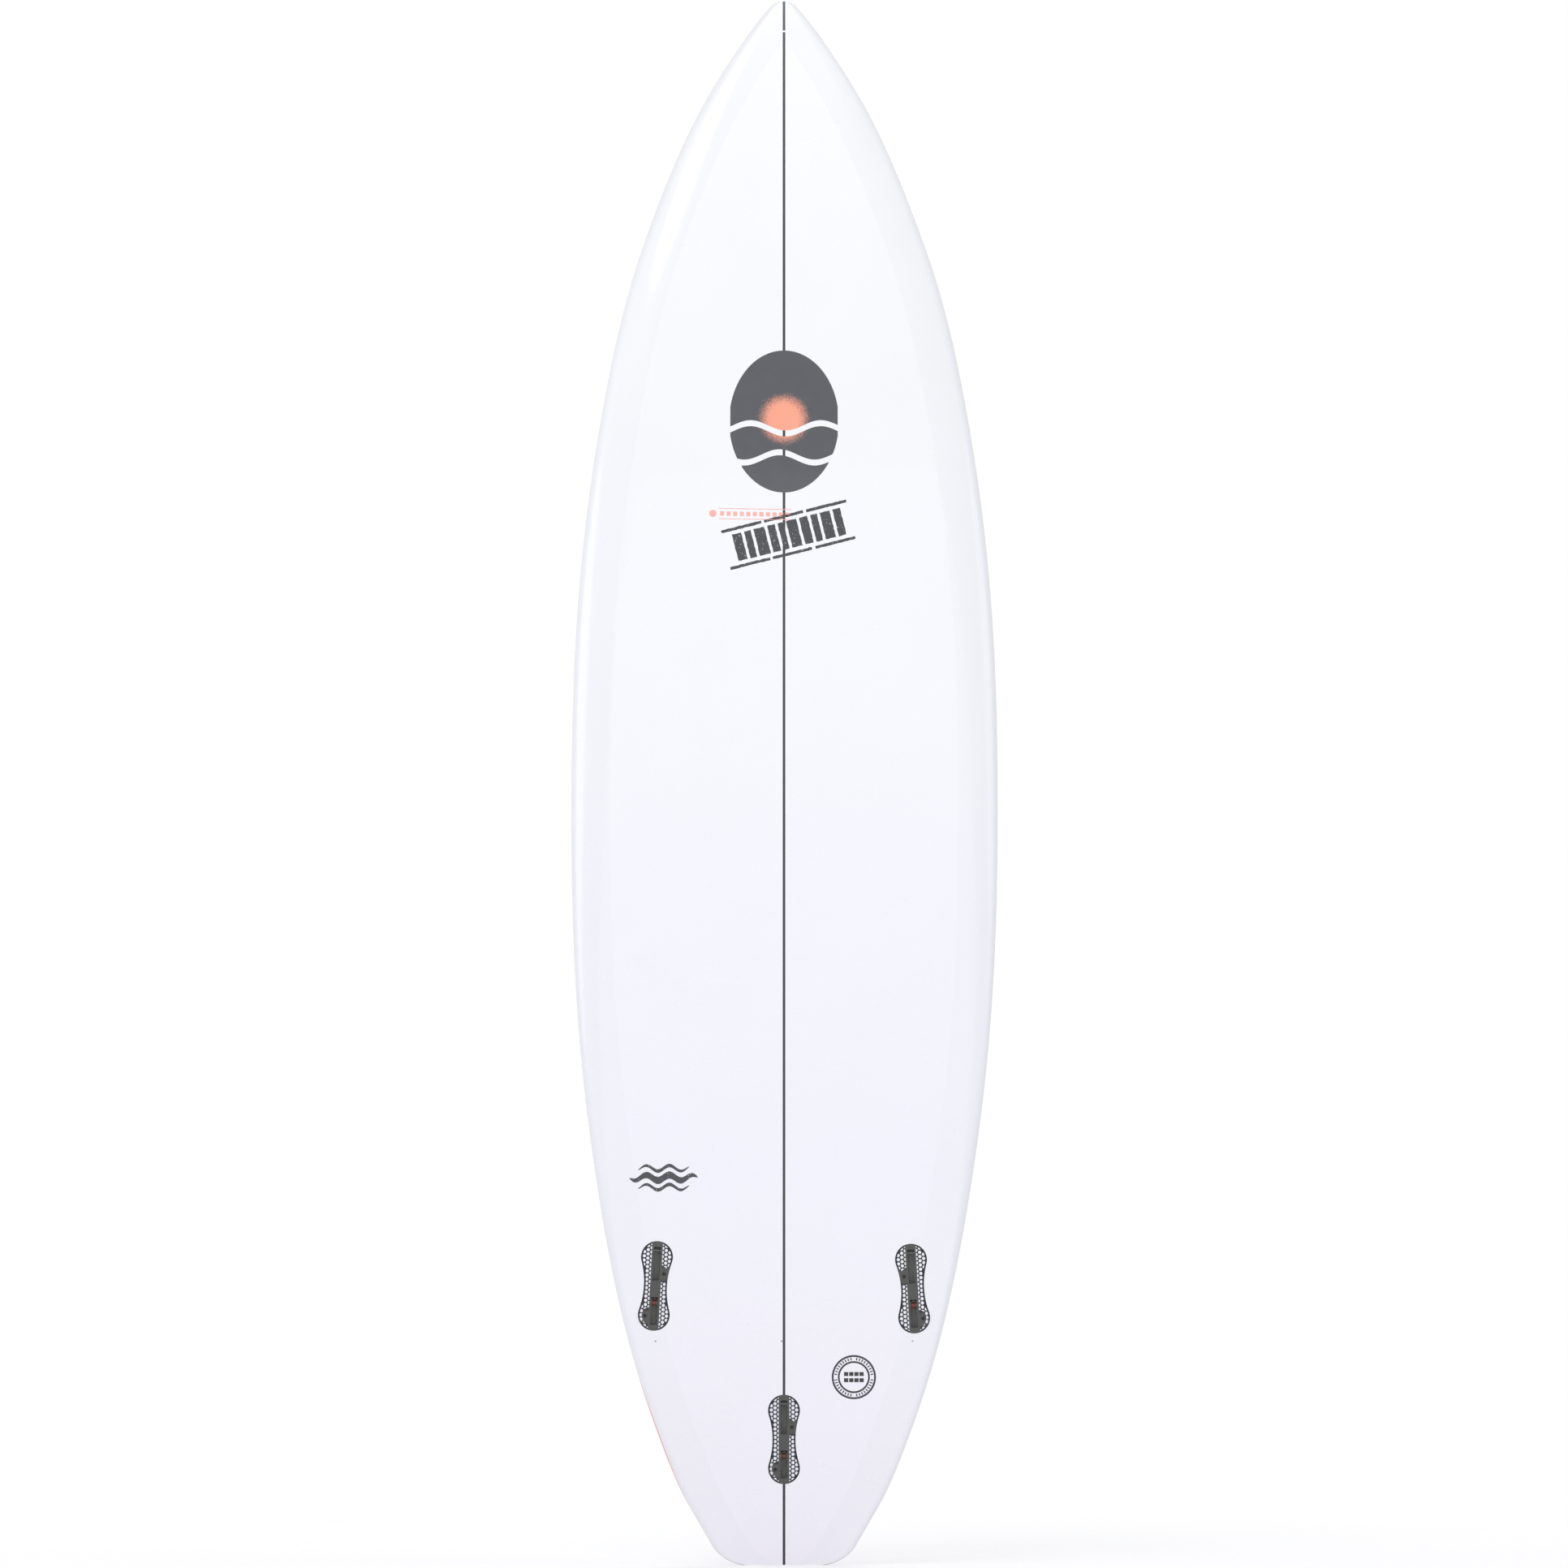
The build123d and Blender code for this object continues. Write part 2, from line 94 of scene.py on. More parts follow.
# ---- hull lines, the same as the CAD's ------------------------------------------------------
LENGTH = 1828.8
NOSE_ROCKER = 127.0
TAIL_ROCKER = 57.0
FLAT_SPOT_Z = 880.0
TAIL_ROCKER_POWER = 2.0
NOSE_ROCKER_POWER = 2.2

TAIL_FLAT_HALF = 44.0
TAIL_CORNER_R = 47.0
TAIL_CORNER_TOP = 24.5
NOSE_R = 22.0
NOSE_FLAT_HALF = 6.0
NOSE_ARC_BASE = 1821.9

# Each table below is a list of (height above the tail end, value).
RAIL_LINE = (
    (74.0, 113.5), (141.0, 142.5), (217.0, 168.6), (305.0, 192.0), (445.0, 218.3),
    (610.0, 238.8), (762.0, 247.6), (914.0, 249.2), (1066.0, 245.3), (1219.0, 232.4),
    (1357.0, 211.3), (1490.0, 180.8), (1604.0, 141.2), (1699.0, 98.4), (1765.0, 58.7),
)
FOIL = (
    (0.0, 13.0), (75.0, 25.0), (152.0, 31.0), (305.0, 40.0), (610.0, 57.0), (860.0, 63.4),
    (1067.0, 61.8), (1219.0, 56.0), (1524.0, 35.5), (1676.0, 24.5), (1790.0, 15.5),
    (1828.8, 12.0),
)
FOIL_END_SLOPES = (0.20, -0.09)
TUCK_END_SLOPES = (0.0, -0.2)
LEVEL_ENDS = (0.0, 0.0)
RAIL_APEX = ((0.0, 0.24), (305.0, 0.18), (914.0, 0.36), (1524.0, 0.46), (1828.8, 0.50))
RAIL_TUCK = ((0.0, 4.0), (305.0, 7.0), (610.0, 30.0), (914.0, 52.0), (1524.0, 46.0), (1828.8, 6.0))
CONCAVE = ((0.0, 1.0), (305.0, 3.6), (914.0, 2.4), (1524.0, 0.3), (1828.8, 0.0))
DECK_FULLNESS = (0.70, 0.62)   # of the deck's curve: upwards at the rail, inwards at the top
ELLIPSE = 0.5523               # handle length that makes a cubic curve a quarter ellipse
NOSE_ROUND = (12.0, 0.50)      # (length of the rounding, share of the thickness left at the end)
TAIL_ROUND = (9.0, 0.75)
SKIN = 1.2
END_SKIN = 2.5
LAP_ABOVE_APEX = 1.0           # the skins meet this far over the rail's apex
STRIP_HALF = 1.5               # half width of the stringer where it shows through the glass
HALVINGS = 40

# ---- fin plugs and leash plug, the same as the CAD's ----------------------------------------
# (x, z, toe-in in degrees, side of the centreline that the grub screws follow)
FIN_PLUGS = {
    "left": (-150.0, 326.6, 3.0, -1),
    "right": (150.0, 323.5, -3.0, 1),
    "centre": (0.0, 147.0, 0.0, -1),
}
PLUG_DEPTH = 16.0
LOBE_R = 18.5
LOBE_U = 34.0
WAIST_HALF = 13.3
WAIST_R = (LOBE_U**2 + WAIST_HALF**2 - LOBE_R**2) / (2 * (LOBE_R - WAIST_HALF))
PLUG_GAP = 0.1
PROUD = 4.0                # how far a cutting solid stands over the skin
BAR_HALF = 6.2             # half width of the bar that holds both slots
# corners (u, v) of the solid pads round the screws, for a plug whose side is 1
FRONT_PAD = ((25.5, 6.0), (18.5, 15.5), (8.5, 15.5), (4.0, 6.0))
REAR_PAD = ((-25.0, -6.0), (-28.0, -12.8), (-35.0, -14.4), (-41.5, -12.3), (-48.5, -6.0))
LEASH_SPOT = (26.0, 82.0)
CUP_R = 14.0
CUP_DEPTH = 14.0


def smooth_curve(points, end_slopes):
    """A cubic spline through (z, value) points, with a given slope at each end."""
    z, value = np.array(points, float).T
    span = np.diff(z)
    chord = np.diff(value) / span
    matrix = np.eye(len(z))
    right = np.zeros(len(z))
    right[0], right[-1] = end_slopes
    for i in range(1, len(z) - 1):
        before, after = 1 / span[i - 1], 1 / span[i]
        matrix[i, i - 1:i + 2] = before, 2 * (before + after), after
        right[i] = 3 * (chord[i - 1] * before + chord[i] * after)
    slope = np.linalg.solve(matrix, right)

    def at(height):
        i = np.clip(np.searchsorted(z, height) - 1, 0, len(z) - 2)
        t = (height - z[i]) / span[i]
        start = (1 + 2 * t) * (1 - t) ** 2 * value[i] + t * (1 - t) ** 2 * span[i] * slope[i]
        end = t * t * (3 - 2 * t) * value[i + 1] + t * t * (t - 1) * span[i] * slope[i + 1]
        return start + end

    return at


NOSE_CENTRE_Z = LENGTH - math.sqrt(NOSE_R**2 - NOSE_FLAT_HALF**2)


def arc_reach(radius, offset):
    """Half chord of a circle at a distance from its centre, 0 outside it."""
    return np.sqrt(np.maximum(radius**2 - offset**2, 0))


TAIL_JOIN = TAIL_FLAT_HALF + float(arc_reach(TAIL_CORNER_R, TAIL_CORNER_R - TAIL_CORNER_TOP))
NOSE_JOIN = float(arc_reach(NOSE_R, NOSE_ARC_BASE - NOSE_CENTRE_Z))
rail_line = smooth_curve(
    ((TAIL_CORNER_TOP, TAIL_JOIN), *RAIL_LINE, (NOSE_ARC_BASE, NOSE_JOIN)),
    (
        (TAIL_CORNER_R - TAIL_CORNER_TOP) / (TAIL_JOIN - TAIL_FLAT_HALF),
        -(NOSE_ARC_BASE - NOSE_CENTRE_Z) / NOSE_JOIN,
    ),
)
foil = smooth_curve(FOIL, FOIL_END_SLOPES)
apex_share = smooth_curve(RAIL_APEX, LEVEL_ENDS)
tuck_width = smooth_curve(RAIL_TUCK, TUCK_END_SLOPES)
concave = smooth_curve(CONCAVE, LEVEL_ENDS)


def half_width(z):
    """Half the board's width: a corner arc at the tail, the rail line, an arc at the nose."""
    tail = TAIL_FLAT_HALF + arc_reach(TAIL_CORNER_R, TAIL_CORNER_R - z)
    nose = arc_reach(NOSE_R, z - NOSE_CENTRE_Z)
    middle = np.where(z > NOSE_ARC_BASE, nose, rail_line(z))
    return np.where(z < TAIL_CORNER_TOP, tail, middle)


def end_rounding(distance, length, share):
    """1 away from an end, falling along a quarter ellipse to share at the end itself."""
    reach = np.clip(distance / length, 0, 1)
    return share + (1 - share) * np.sqrt(1 - (1 - reach) ** 2)


def thickness(z):
    return foil(z) * end_rounding(LENGTH - z, *NOSE_ROUND) * end_rounding(z, *TAIL_ROUND)


def rocker(z):
    """How far the bottom bends towards the deck, away from the flat spot."""
    tail = np.maximum(FLAT_SPOT_Z - z, 0) / FLAT_SPOT_Z
    nose = np.maximum(z - FLAT_SPOT_Z, 0) / (LENGTH - FLAT_SPOT_Z)
    return TAIL_ROCKER * tail**TAIL_ROCKER_POWER + NOSE_ROCKER * nose**NOSE_ROCKER_POWER


def base_y(z):
    """Y of the flat line between the two rails' bottom edges."""
    return rocker(z) - TAIL_ROCKER - thickness(0.0) / 2


def apex_height(z):
    return apex_share(z) * thickness(z)


def flat_half(z):
    """Half width of the bottom between the two rails' tucks."""
    return half_width(z) - np.minimum(tuck_width(z), half_width(z) / 2)


def bottom_y(x, z):
    """Y of the hollowed bottom between the tucks."""
    return base_y(z) + concave(z) * (1 - (x / flat_half(z)) ** 2)


def bezier(t, a, b, c, d):
    """A cubic curve from a to d with handles b and c."""
    return (1 - t) ** 3 * a + 3 * (1 - t) ** 2 * t * b + 3 * (1 - t) * t**2 * c + t**3 * d


def halving(is_low, shape):
    """Where is_low turns false between 0 and 1, by halving."""
    low, high = np.zeros(shape), np.ones(shape)
    for _ in range(HALVINGS):
        middle = (low + high) / 2
        down = is_low(middle)
        low, high = np.where(down, middle, low), np.where(down, high, middle)
    return low


class Sections:
    """The board's cross-sections at an array of heights, shrunk by inset.

    end_inset shortens the board by that much at the nose and at the tail."""

    def __init__(self, z, inset=0.0, end_inset=0.0):
        z = np.asarray(z, float).reshape(-1, 1)
        self.inset = inset
        self.z = end_inset + z * (LENGTH - 2 * end_inset) / LENGTH
        self.base = base_y(self.z)
        self.width = half_width(z) - inset
        self.flat = flat_half(z)
        self.depth = concave(z)
        self.apex = apex_height(z)
        self.top = thickness(z) - inset

    def bottom(self, share):
        """(x, y) from the stringer strip at share 0 to the start of the tuck at 1."""
        x = STRIP_HALF + (self.flat - STRIP_HALF) * share
        return x, self.inset + self.depth * (1 - (x / self.flat) ** 2)

    def tuck(self, t):
        """(x, y) from the flat bottom at t 0 to the rail's apex at 1."""
        run, rise = ELLIPSE * (self.width - self.flat), ELLIPSE * (self.apex - self.inset)
        x = bezier(t, self.flat, self.flat + run, self.width, self.width)
        return x, bezier(t, self.inset, self.inset, self.apex - rise, self.apex)

    def deck(self, t):
        """(x, y) from the rail's apex at t 0 to the middle of the deck at 1."""
        up = DECK_FULLNESS[0] * (self.top - self.apex)
        x = bezier(t, self.width, self.width, DECK_FULLNESS[1] * self.width, 0)
        return x, bezier(t, self.apex, self.apex + up, self.top, self.top)

    def seam(self):
        """The t of the deck curve where the two skins meet."""
        return halving(lambda t: self.deck(t)[1] < self.apex + LAP_ABOVE_APEX, self.z.shape)

    def strip(self):
        """The t of the deck curve at the edge of the stringer strip."""
        return halving(lambda t: self.deck(t)[0] > STRIP_HALF, self.z.shape)

    def points(self, parts):
        """Both sides' points, from the left rail to the right one, as rows of one height."""
        x = np.concatenate([part[0] for part in parts], axis=1)
        y = np.concatenate([part[1] for part in parts], axis=1) + self.base
        x = np.concatenate([-x[:, ::-1], x], axis=1)
        y = np.concatenate([y[:, ::-1], y], axis=1)
        return np.stack([x, y, np.broadcast_to(self.z, x.shape)], axis=2)


# ---- mesh helpers ---------------------------------------------------------------------------
SHARP = math.radians(35)   # edges that turn more than this are shaded as creases


def add_object(name, mesh, materials, body="board"):
    """Puts a mesh in the scene as a smooth-shaded piece that rides on a body."""
    mesh.polygons.foreach_set("use_smooth", [True] * len(mesh.polygons))
    mesh.set_sharp_from_angle(angle=SHARP)
    piece = bpy.data.objects.new(name, mesh)
    bpy.context.collection.objects.link(piece)
    for material in materials:
        mesh.materials.append(material)
    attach(piece, body)
    return piece


def mesh_of(name, points, faces):
    """A mesh of points in millimetres, with its faces turned outwards."""
    mesh = bpy.data.meshes.new(name)
    mesh.from_pydata((np.asarray(points) * MM).tolist(), [], faces)
    shape = bmesh.new()
    shape.from_mesh(mesh)
    bmesh.ops.recalc_face_normals(shape, faces=shape.faces)
    shape.to_mesh(mesh)
    shape.free()
    return mesh


def grid_faces(rows, columns, start):
    """Quads over a grid of points that is stored row by row from index start."""
    for i in range(rows - 1):
        for j in range(columns - 1):
            corner = start + i * columns + j
            yield [corner, corner + 1, corner + columns + 1, corner + columns]


def shell_mesh(name, outer, inner):
    """A closed solid between two grids of points of the same size."""
    rows, columns = outer.shape[:2]
    below = rows * columns
    faces = list(grid_faces(rows, columns, 0)) + list(grid_faces(rows, columns, below))
    for j in (0, columns - 1):
        for i in range(rows - 1):
            a, b = i * columns + j, (i + 1) * columns + j
            faces.append([a, b, below + b, below + a])
    for i in (0, rows - 1):
        first, last = i * columns, (i + 1) * columns - 1
        faces.append(list(range(first, last + 1)))
        faces.append(list(range(below + first, below + last + 1)))
        faces.append([first, last, below + last, below + first])
    points = np.concatenate([outer.reshape(-1, 3), inner.reshape(-1, 3)])
    return mesh_of(name, points, faces)


def carve(piece, cutters):
    """Cuts cutters out of a piece, applies the result and removes the cutters."""
    for cutter in cutters:
        modifier = piece.modifiers.new("cut", "BOOLEAN")
        modifier.operation = "DIFFERENCE"
        modifier.solver = "MANIFOLD"
        modifier.object = cutter
    bpy.context.view_layer.update()
    shown = piece.evaluated_get(bpy.context.evaluated_depsgraph_get())
    piece.data = bpy.data.meshes.new_from_object(shown)
    piece.modifiers.clear()
    for cutter in cutters:
        bpy.data.objects.remove(cutter)
    piece.data.set_sharp_from_angle(angle=SHARP)


# ---- materials ------------------------------------------------------------------------------
def srgb(red, green, blue):
    """A colour given as 0 to 255 screen values, as the linear RGBA that shaders take."""
    channels = [c / 255 for c in (red, green, blue)]
    linear = [c / 12.92 if c <= 0.04045 else ((c + 0.055) / 1.055) ** 2.4 for c in channels]
    return (*linear, 1.0)


class Shader:
    """One node material. Inputs are constants or the outputs of earlier nodes."""

    def __init__(self, name):
        self.material = bpy.data.materials.new(name)
        self.material.use_nodes = True
        self.tree = self.material.node_tree
        self.tree.nodes.clear()
        self.place = self.node("ShaderNodeTexCoord").outputs["Object"]

    def node(self, kind, inputs=None, **settings):
        made = self.tree.nodes.new(kind)
        for key, value in settings.items():
            setattr(made, key, value)
        for key, value in (inputs or {}).items():
            if isinstance(value, bpy.types.NodeSocket):
                self.tree.links.new(value, made.inputs[key])
            else:
                made.inputs[key].default_value = value
        return made

    def noise(self, size, detail=3.0, stretch=(1, 1, 1), roughness=0.5):
        """Noise from 0 to 1 whose blobs are about size metres, longer where stretch is small."""
        scaled = self.node("ShaderNodeMapping", {"Vector": self.place, "Scale": stretch})
        inputs = {"Vector": scaled.outputs[0], "Scale": 1 / size, "Detail": detail,
                  "Roughness": roughness}
        return self.node("ShaderNodeTexNoise", inputs).outputs["Fac"]

    def cells(self, size):
        """Distance to the middle of the nearest of many cells that are about size metres."""
        inputs = {"Vector": self.place, "Scale": 1 / size}
        return self.node("ShaderNodeTexVoronoi", inputs).outputs["Distance"]

    def math(self, operation, a, b=0.0):
        return self.node("ShaderNodeMath", {0: a, 1: b}, operation=operation).outputs[0]

    def spread(self, value, low, high, to_low=0.0, to_high=1.0):
        """value, mapped from low..high to to_low..to_high and held at both ends."""
        inputs = {"Value": value, "From Min": low, "From Max": high, "To Min": to_low,
                  "To Max": to_high}
        return self.node("ShaderNodeMapRange", inputs).outputs[0]

    def mix(self, factor, a, b):
        inputs = {0: factor, 6: a, 7: b}
        return self.node("ShaderNodeMix", inputs, data_type="RGBA").outputs[2]

    def ramp(self, value, stops):
        made = self.node("ShaderNodeValToRGB", {"Fac": value})
        elements = made.color_ramp.elements
        while len(elements) < len(stops):
            elements.new(0.5)
        for element, (position, colour) in zip(elements, stops):
            element.position = position
            element.color = colour
        return made.outputs["Color"]

    def height(self):
        """Height above the tail end as a share of the board's length."""
        z = self.node("ShaderNodeSeparateXYZ", {0: self.place}).outputs["Z"]
        return self.math("DIVIDE", z, LENGTH * MM)

    def weave(self, pitch):
        """A plain cloth weave of that pitch, from 0 to 1."""
        bands = []
        for direction in ("X", "Z"):
            inputs = {"Vector": self.place, "Scale": WAVE_PERIOD / pitch}
            wave = self.node("ShaderNodeTexWave", inputs, bands_direction=direction)
            bands.append(wave.outputs["Fac"])
        return self.math("MULTIPLY", *bands)

    def bump(self, height, distance):
        inputs = {"Height": height, "Distance": distance}
        return self.node("ShaderNodeBump", inputs).outputs["Normal"]

    def surface(self, colour, roughness, **inputs):
        named = {key.replace("_", " ").title(): value for key, value in inputs.items()}
        named |= {"Base Color": colour, "Roughness": roughness}
        shader = self.node("ShaderNodeBsdfPrincipled", named)
        self.node("ShaderNodeOutputMaterial", {"Surface": shader.outputs[0]})
        return self.material


WAVE_PERIOD = math.tau / 20    # of Blender's wave texture at scale 1
GLOSS = {"coat_weight": 0.6, "coat_roughness": 0.05}   # the clear hot coat over every print
COAT_RELIEF = 0.00006
RIPPLE_SIZE = 0.035
WEAVE_PITCH = 0.0016
LAP_WIDTH = 0.046              # how far the second layer of cloth reaches in from the rail
LAP_BLUR = 0.0006
LAP_RAGGED = 0.0016
RAIL_SHADE_WIDTH = 0.009            # painted shade: the rail's outer edge is greyed over this much of its width
MOTTLE_GREY = srgb(238, 238, 244)
LAP_GREY = srgb(232, 233, 240)
# painted shade: the grey that the rail's outer edge is mixed towards
RAIL_SHADE_GREY = srgb(222, 223, 232)
NOSE_WHITE = srgb(250, 252, 254)
MIDDLE_WHITE = srgb(246, 248, 254)
LOWER_WHITE = srgb(243, 243, 253)
TAIL_WHITE = srgb(247, 244, 253)
# (share of the board's length, colour): the lavender cast is the resin's own tint, and the steps in
# brightness along the length are painted light and shade
BOARD_WHITES_AND_PAINTED_SHADE = [(0.0, TAIL_WHITE), (0.25, LOWER_WHITE), (0.55, MIDDLE_WHITE), (1.0, NOSE_WHITE)]
STRINGER_TONES = [
    (0.0, srgb(28, 28, 30)), (0.45, srgb(30, 30, 32)), (0.8, srgb(52, 52, 56)),
    (0.93, srgb(58, 62, 74)), (1.0, srgb(76, 82, 98)),
]
WOOD_STRETCH = (1, 1, 0.03)    # grain runs along the board


def coat_surface(shader, colour):
    """Sanded, polished clear resin over a colour: faint weave, faint waviness, even gloss."""
    waviness = shader.math("MULTIPLY", shader.noise(RIPPLE_SIZE, 2.0), 2.0)
    relief = shader.math("ADD", waviness, shader.math("MULTIPLY", shader.weave(WEAVE_PITCH), 0.2))
    roughness = shader.spread(shader.noise(0.05, 4.0), 0.3, 0.7, 0.20, 0.30)
    normal = shader.bump(relief, COAT_RELIEF)
    return shader.surface(colour, roughness, normal=normal, **GLOSS)


def glassed_foam(name):
    """White foam under glass cloth: a lap of a second layer, and painted shade that greys the edge
    at the rail.
    """
    shader = Shader(name)
    # painted light and shade: the whites change in brightness along the board's length, on top of
    # the resin's lavender tint
    white = shader.ramp(shader.height(), BOARD_WHITES_AND_PAINTED_SHADE)
    mottle = shader.spread(shader.noise(0.11, 3.0), 0.2, 0.8, 0.0, 0.22)
    weave = shader.math("MULTIPLY", shader.weave(WEAVE_PITCH), 0.16)
    tinted = shader.mix(shader.math("ADD", mottle, weave), white, MOTTLE_GREY)
    gap = shader.node("ShaderNodeAttribute", attribute_name="rail_gap").outputs["Fac"]
    ragged = shader.spread(shader.noise(0.012, 3.0), 0.0, 1.0, -LAP_RAGGED, LAP_RAGGED)
    gap = shader.math("ADD", gap, ragged)
    lap = shader.spread(gap, LAP_WIDTH + LAP_BLUR, LAP_WIDTH - LAP_BLUR, 0.0, 0.20)
    lapped = shader.mix(lap, tinted, LAP_GREY)
    # painted shade: near the rail's edge the colour is mixed towards grey, standing in for the
    # darker edge where the rail turns away from the light
    sanded = shader.spread(gap, RAIL_SHADE_WIDTH, 0.0, 0.0, 0.5)
    return coat_surface(shader, shader.mix(sanded, lapped, RAIL_SHADE_GREY))


def stringer_under_glass():
    """The dark wooden strip as it shows through the resin, paler towards the nose."""
    shader = Shader("stringer_under_glass")
    wood = shader.ramp(shader.height(), STRINGER_TONES)
    grain = shader.noise(0.0012, 4.0, WOOD_STRETCH)
    knots = shader.spread(shader.noise(0.06, 3.0, (0.2, 0.2, 1)), 0.3, 0.8, 0.0, 0.35)
    darker = shader.mix(shader.spread(grain, 0.4, 0.65, 0.0, 0.5), wood, srgb(26, 25, 27))
    return coat_surface(shader, shader.mix(knots, darker, srgb(52, 51, 52)))


def ink(name, colour, wear):
    """A rice-paper print under the resin, worn through where the noise is above wear."""
    shader = Shader(name)
    speckle = shader.spread(shader.noise(0.0022, 5.0, roughness=0.7), wear, wear + 0.05)
    patch = shader.spread(shader.noise(0.02, 3.0), 0.35, 0.75, 0.0, 0.25)
    toned = shader.mix(patch, srgb(*colour), srgb(*[min(c + 22, 255) for c in colour]))
    return coat_surface(shader, shader.mix(speckle, toned, LOWER_WHITE))


GLOW_CENTRE = (0.0, 0.0, 1.338)
GLOW_RADIUS = 0.030
GLOW_SPRAY = 0.004


def emblem_ink():
    """Dark grey with a soft orange glow round one point and fine airbrush speckle at its edge."""
    shader = Shader("emblem_ink")
    flat = shader.node("ShaderNodeVectorMath", {0: shader.place, 1: (1, 0, 1)},
                       operation="MULTIPLY").outputs["Vector"]
    away = shader.node("ShaderNodeVectorMath", {0: flat, 1: GLOW_CENTRE},
                       operation="DISTANCE").outputs["Value"]
    spray = shader.spread(shader.noise(0.0012, 2.0), 0.3, 0.7, -GLOW_SPRAY, GLOW_SPRAY)
    glow = shader.spread(shader.math("ADD", away, spray), GLOW_RADIUS, 0.6 * GLOW_RADIUS)
    patch = shader.spread(shader.noise(0.02, 4.0), 0.3, 0.8, 0.0, 0.3)
    grey = shader.mix(patch, srgb(78, 80, 87), srgb(92, 93, 100))
    orange = shader.mix(patch, srgb(253, 166, 138), srgb(252, 184, 158))
    return coat_surface(shader, shader.mix(glow, grey, orange))


NYLON_ROUGHNESS = 0.42
FIBRE_SIZE = 0.0009
FIBRE_STRETCH = (1, 1, 0.35)


def glass_fibres(shader, strength):
    """Short glass fibres in plastic, from 0 between them to strength on them."""
    return shader.spread(shader.noise(FIBRE_SIZE, 3.0, FIBRE_STRETCH), 0.60, 0.72, 0.0, strength)


def nylon_surface(shader, colour, level):
    """Plastic with a fine moulded grain whose roughness wanders about level."""
    roughness = shader.spread(shader.noise(0.004, 4.0), 0.3, 0.7, level - 0.08, level + 0.10)
    normal = shader.bump(shader.noise(0.0006, 3.0), 0.00004)
    return shader.surface(colour, roughness, normal=normal)


def moulded_nylon(name, colour, level=NYLON_ROUGHNESS):
    """Plastic of one colour with paler glass fibres."""
    shader = Shader(name)
    lighter = srgb(*[c + 34 for c in colour])
    toned = shader.mix(glass_fibres(shader, 0.35), srgb(*colour), lighter)
    return nylon_surface(shader, toned, level)


def ground_metal(name, colour, stretch, bare=1.0):
    """Steel with fine tool marks, longer where stretch is small; bare is 1 with no coating."""
    shader = Shader(name)
    marks = shader.noise(0.0005, 3.0, stretch)
    toned = shader.mix(marks, srgb(*colour), srgb(*[c + 40 for c in colour]))
    roughness = shader.spread(marks, 0.3, 0.7, 0.22, 0.40)
    normal = shader.bump(marks, 0.00002)
    return shader.surface(toned, roughness, normal=normal, metallic=bare)


def cured_resin():
    """Opaque white resin in the plug's cells, sanded flush, with a few trapped bubbles."""
    shader = Shader("cell_resin")
    cloud = shader.spread(shader.noise(0.006, 4.0), 0.3, 0.8, 0.0, 0.6)
    toned = shader.mix(cloud, srgb(236, 237, 244), srgb(220, 221, 230))
    bubbles = shader.spread(shader.cells(0.0022), 0.12, 0.16, 1.0, 0.0)
    toned = shader.mix(shader.math("MULTIPLY", bubbles, 0.35), toned, srgb(196, 196, 206))
    return shader.surface(toned, 0.22, normal=shader.bump(cloud, 0.00005), **GLOSS)


def cast_rubber(name, colour, pale):
    """Cloudy cast rubber between two colours, with a dull, slightly rough skin."""
    shader = Shader(name)
    cloud = shader.spread(shader.noise(0.0015, 4.0), 0.3, 0.75)
    toned = shader.mix(cloud, srgb(*colour), srgb(*pale))
    roughness = shader.spread(shader.noise(0.0008, 3.0), 0.3, 0.7, 0.32, 0.50)
    normal = shader.bump(shader.noise(0.0005, 3.0), 0.00003)
    return shader.surface(toned, roughness, normal=normal)


def blank_foam():
    """Cream foam with small pores."""
    shader = Shader("blank_foam")
    pores = shader.cells(0.0011)
    toned = shader.mix(shader.spread(pores, 0.1, 0.6), srgb(226, 220, 200), srgb(245, 242, 230))
    return shader.surface(toned, 0.85, normal=shader.bump(pores, 0.0002))


def stringer_wood():
    """Bare wood with its grain along the board."""
    shader = Shader("stringer_wood")
    grain = shader.noise(0.0016, 5.0, WOOD_STRETCH)
    toned = shader.mix(shader.spread(grain, 0.3, 0.7), srgb(98, 84, 72), srgb(150, 130, 108))
    return shader.surface(toned, 0.6, normal=shader.bump(grain, 0.0001))


skin_white = glassed_foam("glassed_foam")
stringer_line = stringer_under_glass()
# painted light: the slots' nylon is much paler than the flange's, to lift the shade deep inside the
# slots
slot_nylon_painted_light = moulded_nylon("slot_nylon_painted_light", (136, 136, 136))
dark_ink = ink("stamp_ink", (50, 52, 60), 0.62)
ring_ink = ink("ring_ink", (30, 32, 40), 0.75)
salmon_ink = ink("salmon_ink", (244, 158, 148), 0.66)
pale_salmon_ink = ink("pale_salmon_ink", (250, 178, 168), 0.62)
graphite = ink("pencil_mark", (120, 120, 128), 0.52)

# by the CAD nodes' material slots
NODE_MATERIALS = {
    "foam": blank_foam(),
    "stringer": stringer_wood(),
    "pin_metal": ground_metal("pin_metal", (170, 169, 168), (1, 1, 1)),
    # painted light: the carrier's nylon is paler than its own colour, to lift the shade inside the
    # slot
    "carrier": moulded_nylon("carrier_nylon_painted_light", (104, 104, 105), 0.36),
    # painted light: the spring rubber is mid grey rather than dark, to lift the shade inside the
    # slot
    "spring_rubber": cast_rubber("spring_rubber", (92, 92, 94), (112, 112, 114)),
    "roller_urethane": cast_rubber("roller_urethane", (124, 56, 42), (146, 74, 58)),
    "screw_metal": ground_metal("screw_metal", (62, 62, 64), (1, 1, 0.1), 0.3),
    "leash_cup": moulded_nylon("cup_plastic", (54, 54, 58), 0.30),
}
# painted light: the hook bar is paler than its own dark steel, to lift the shade inside the slot
hook_metal_painted_light = ground_metal("hook_metal_painted_light", (104, 104, 105), (1, 1, 0.1), 0.3)


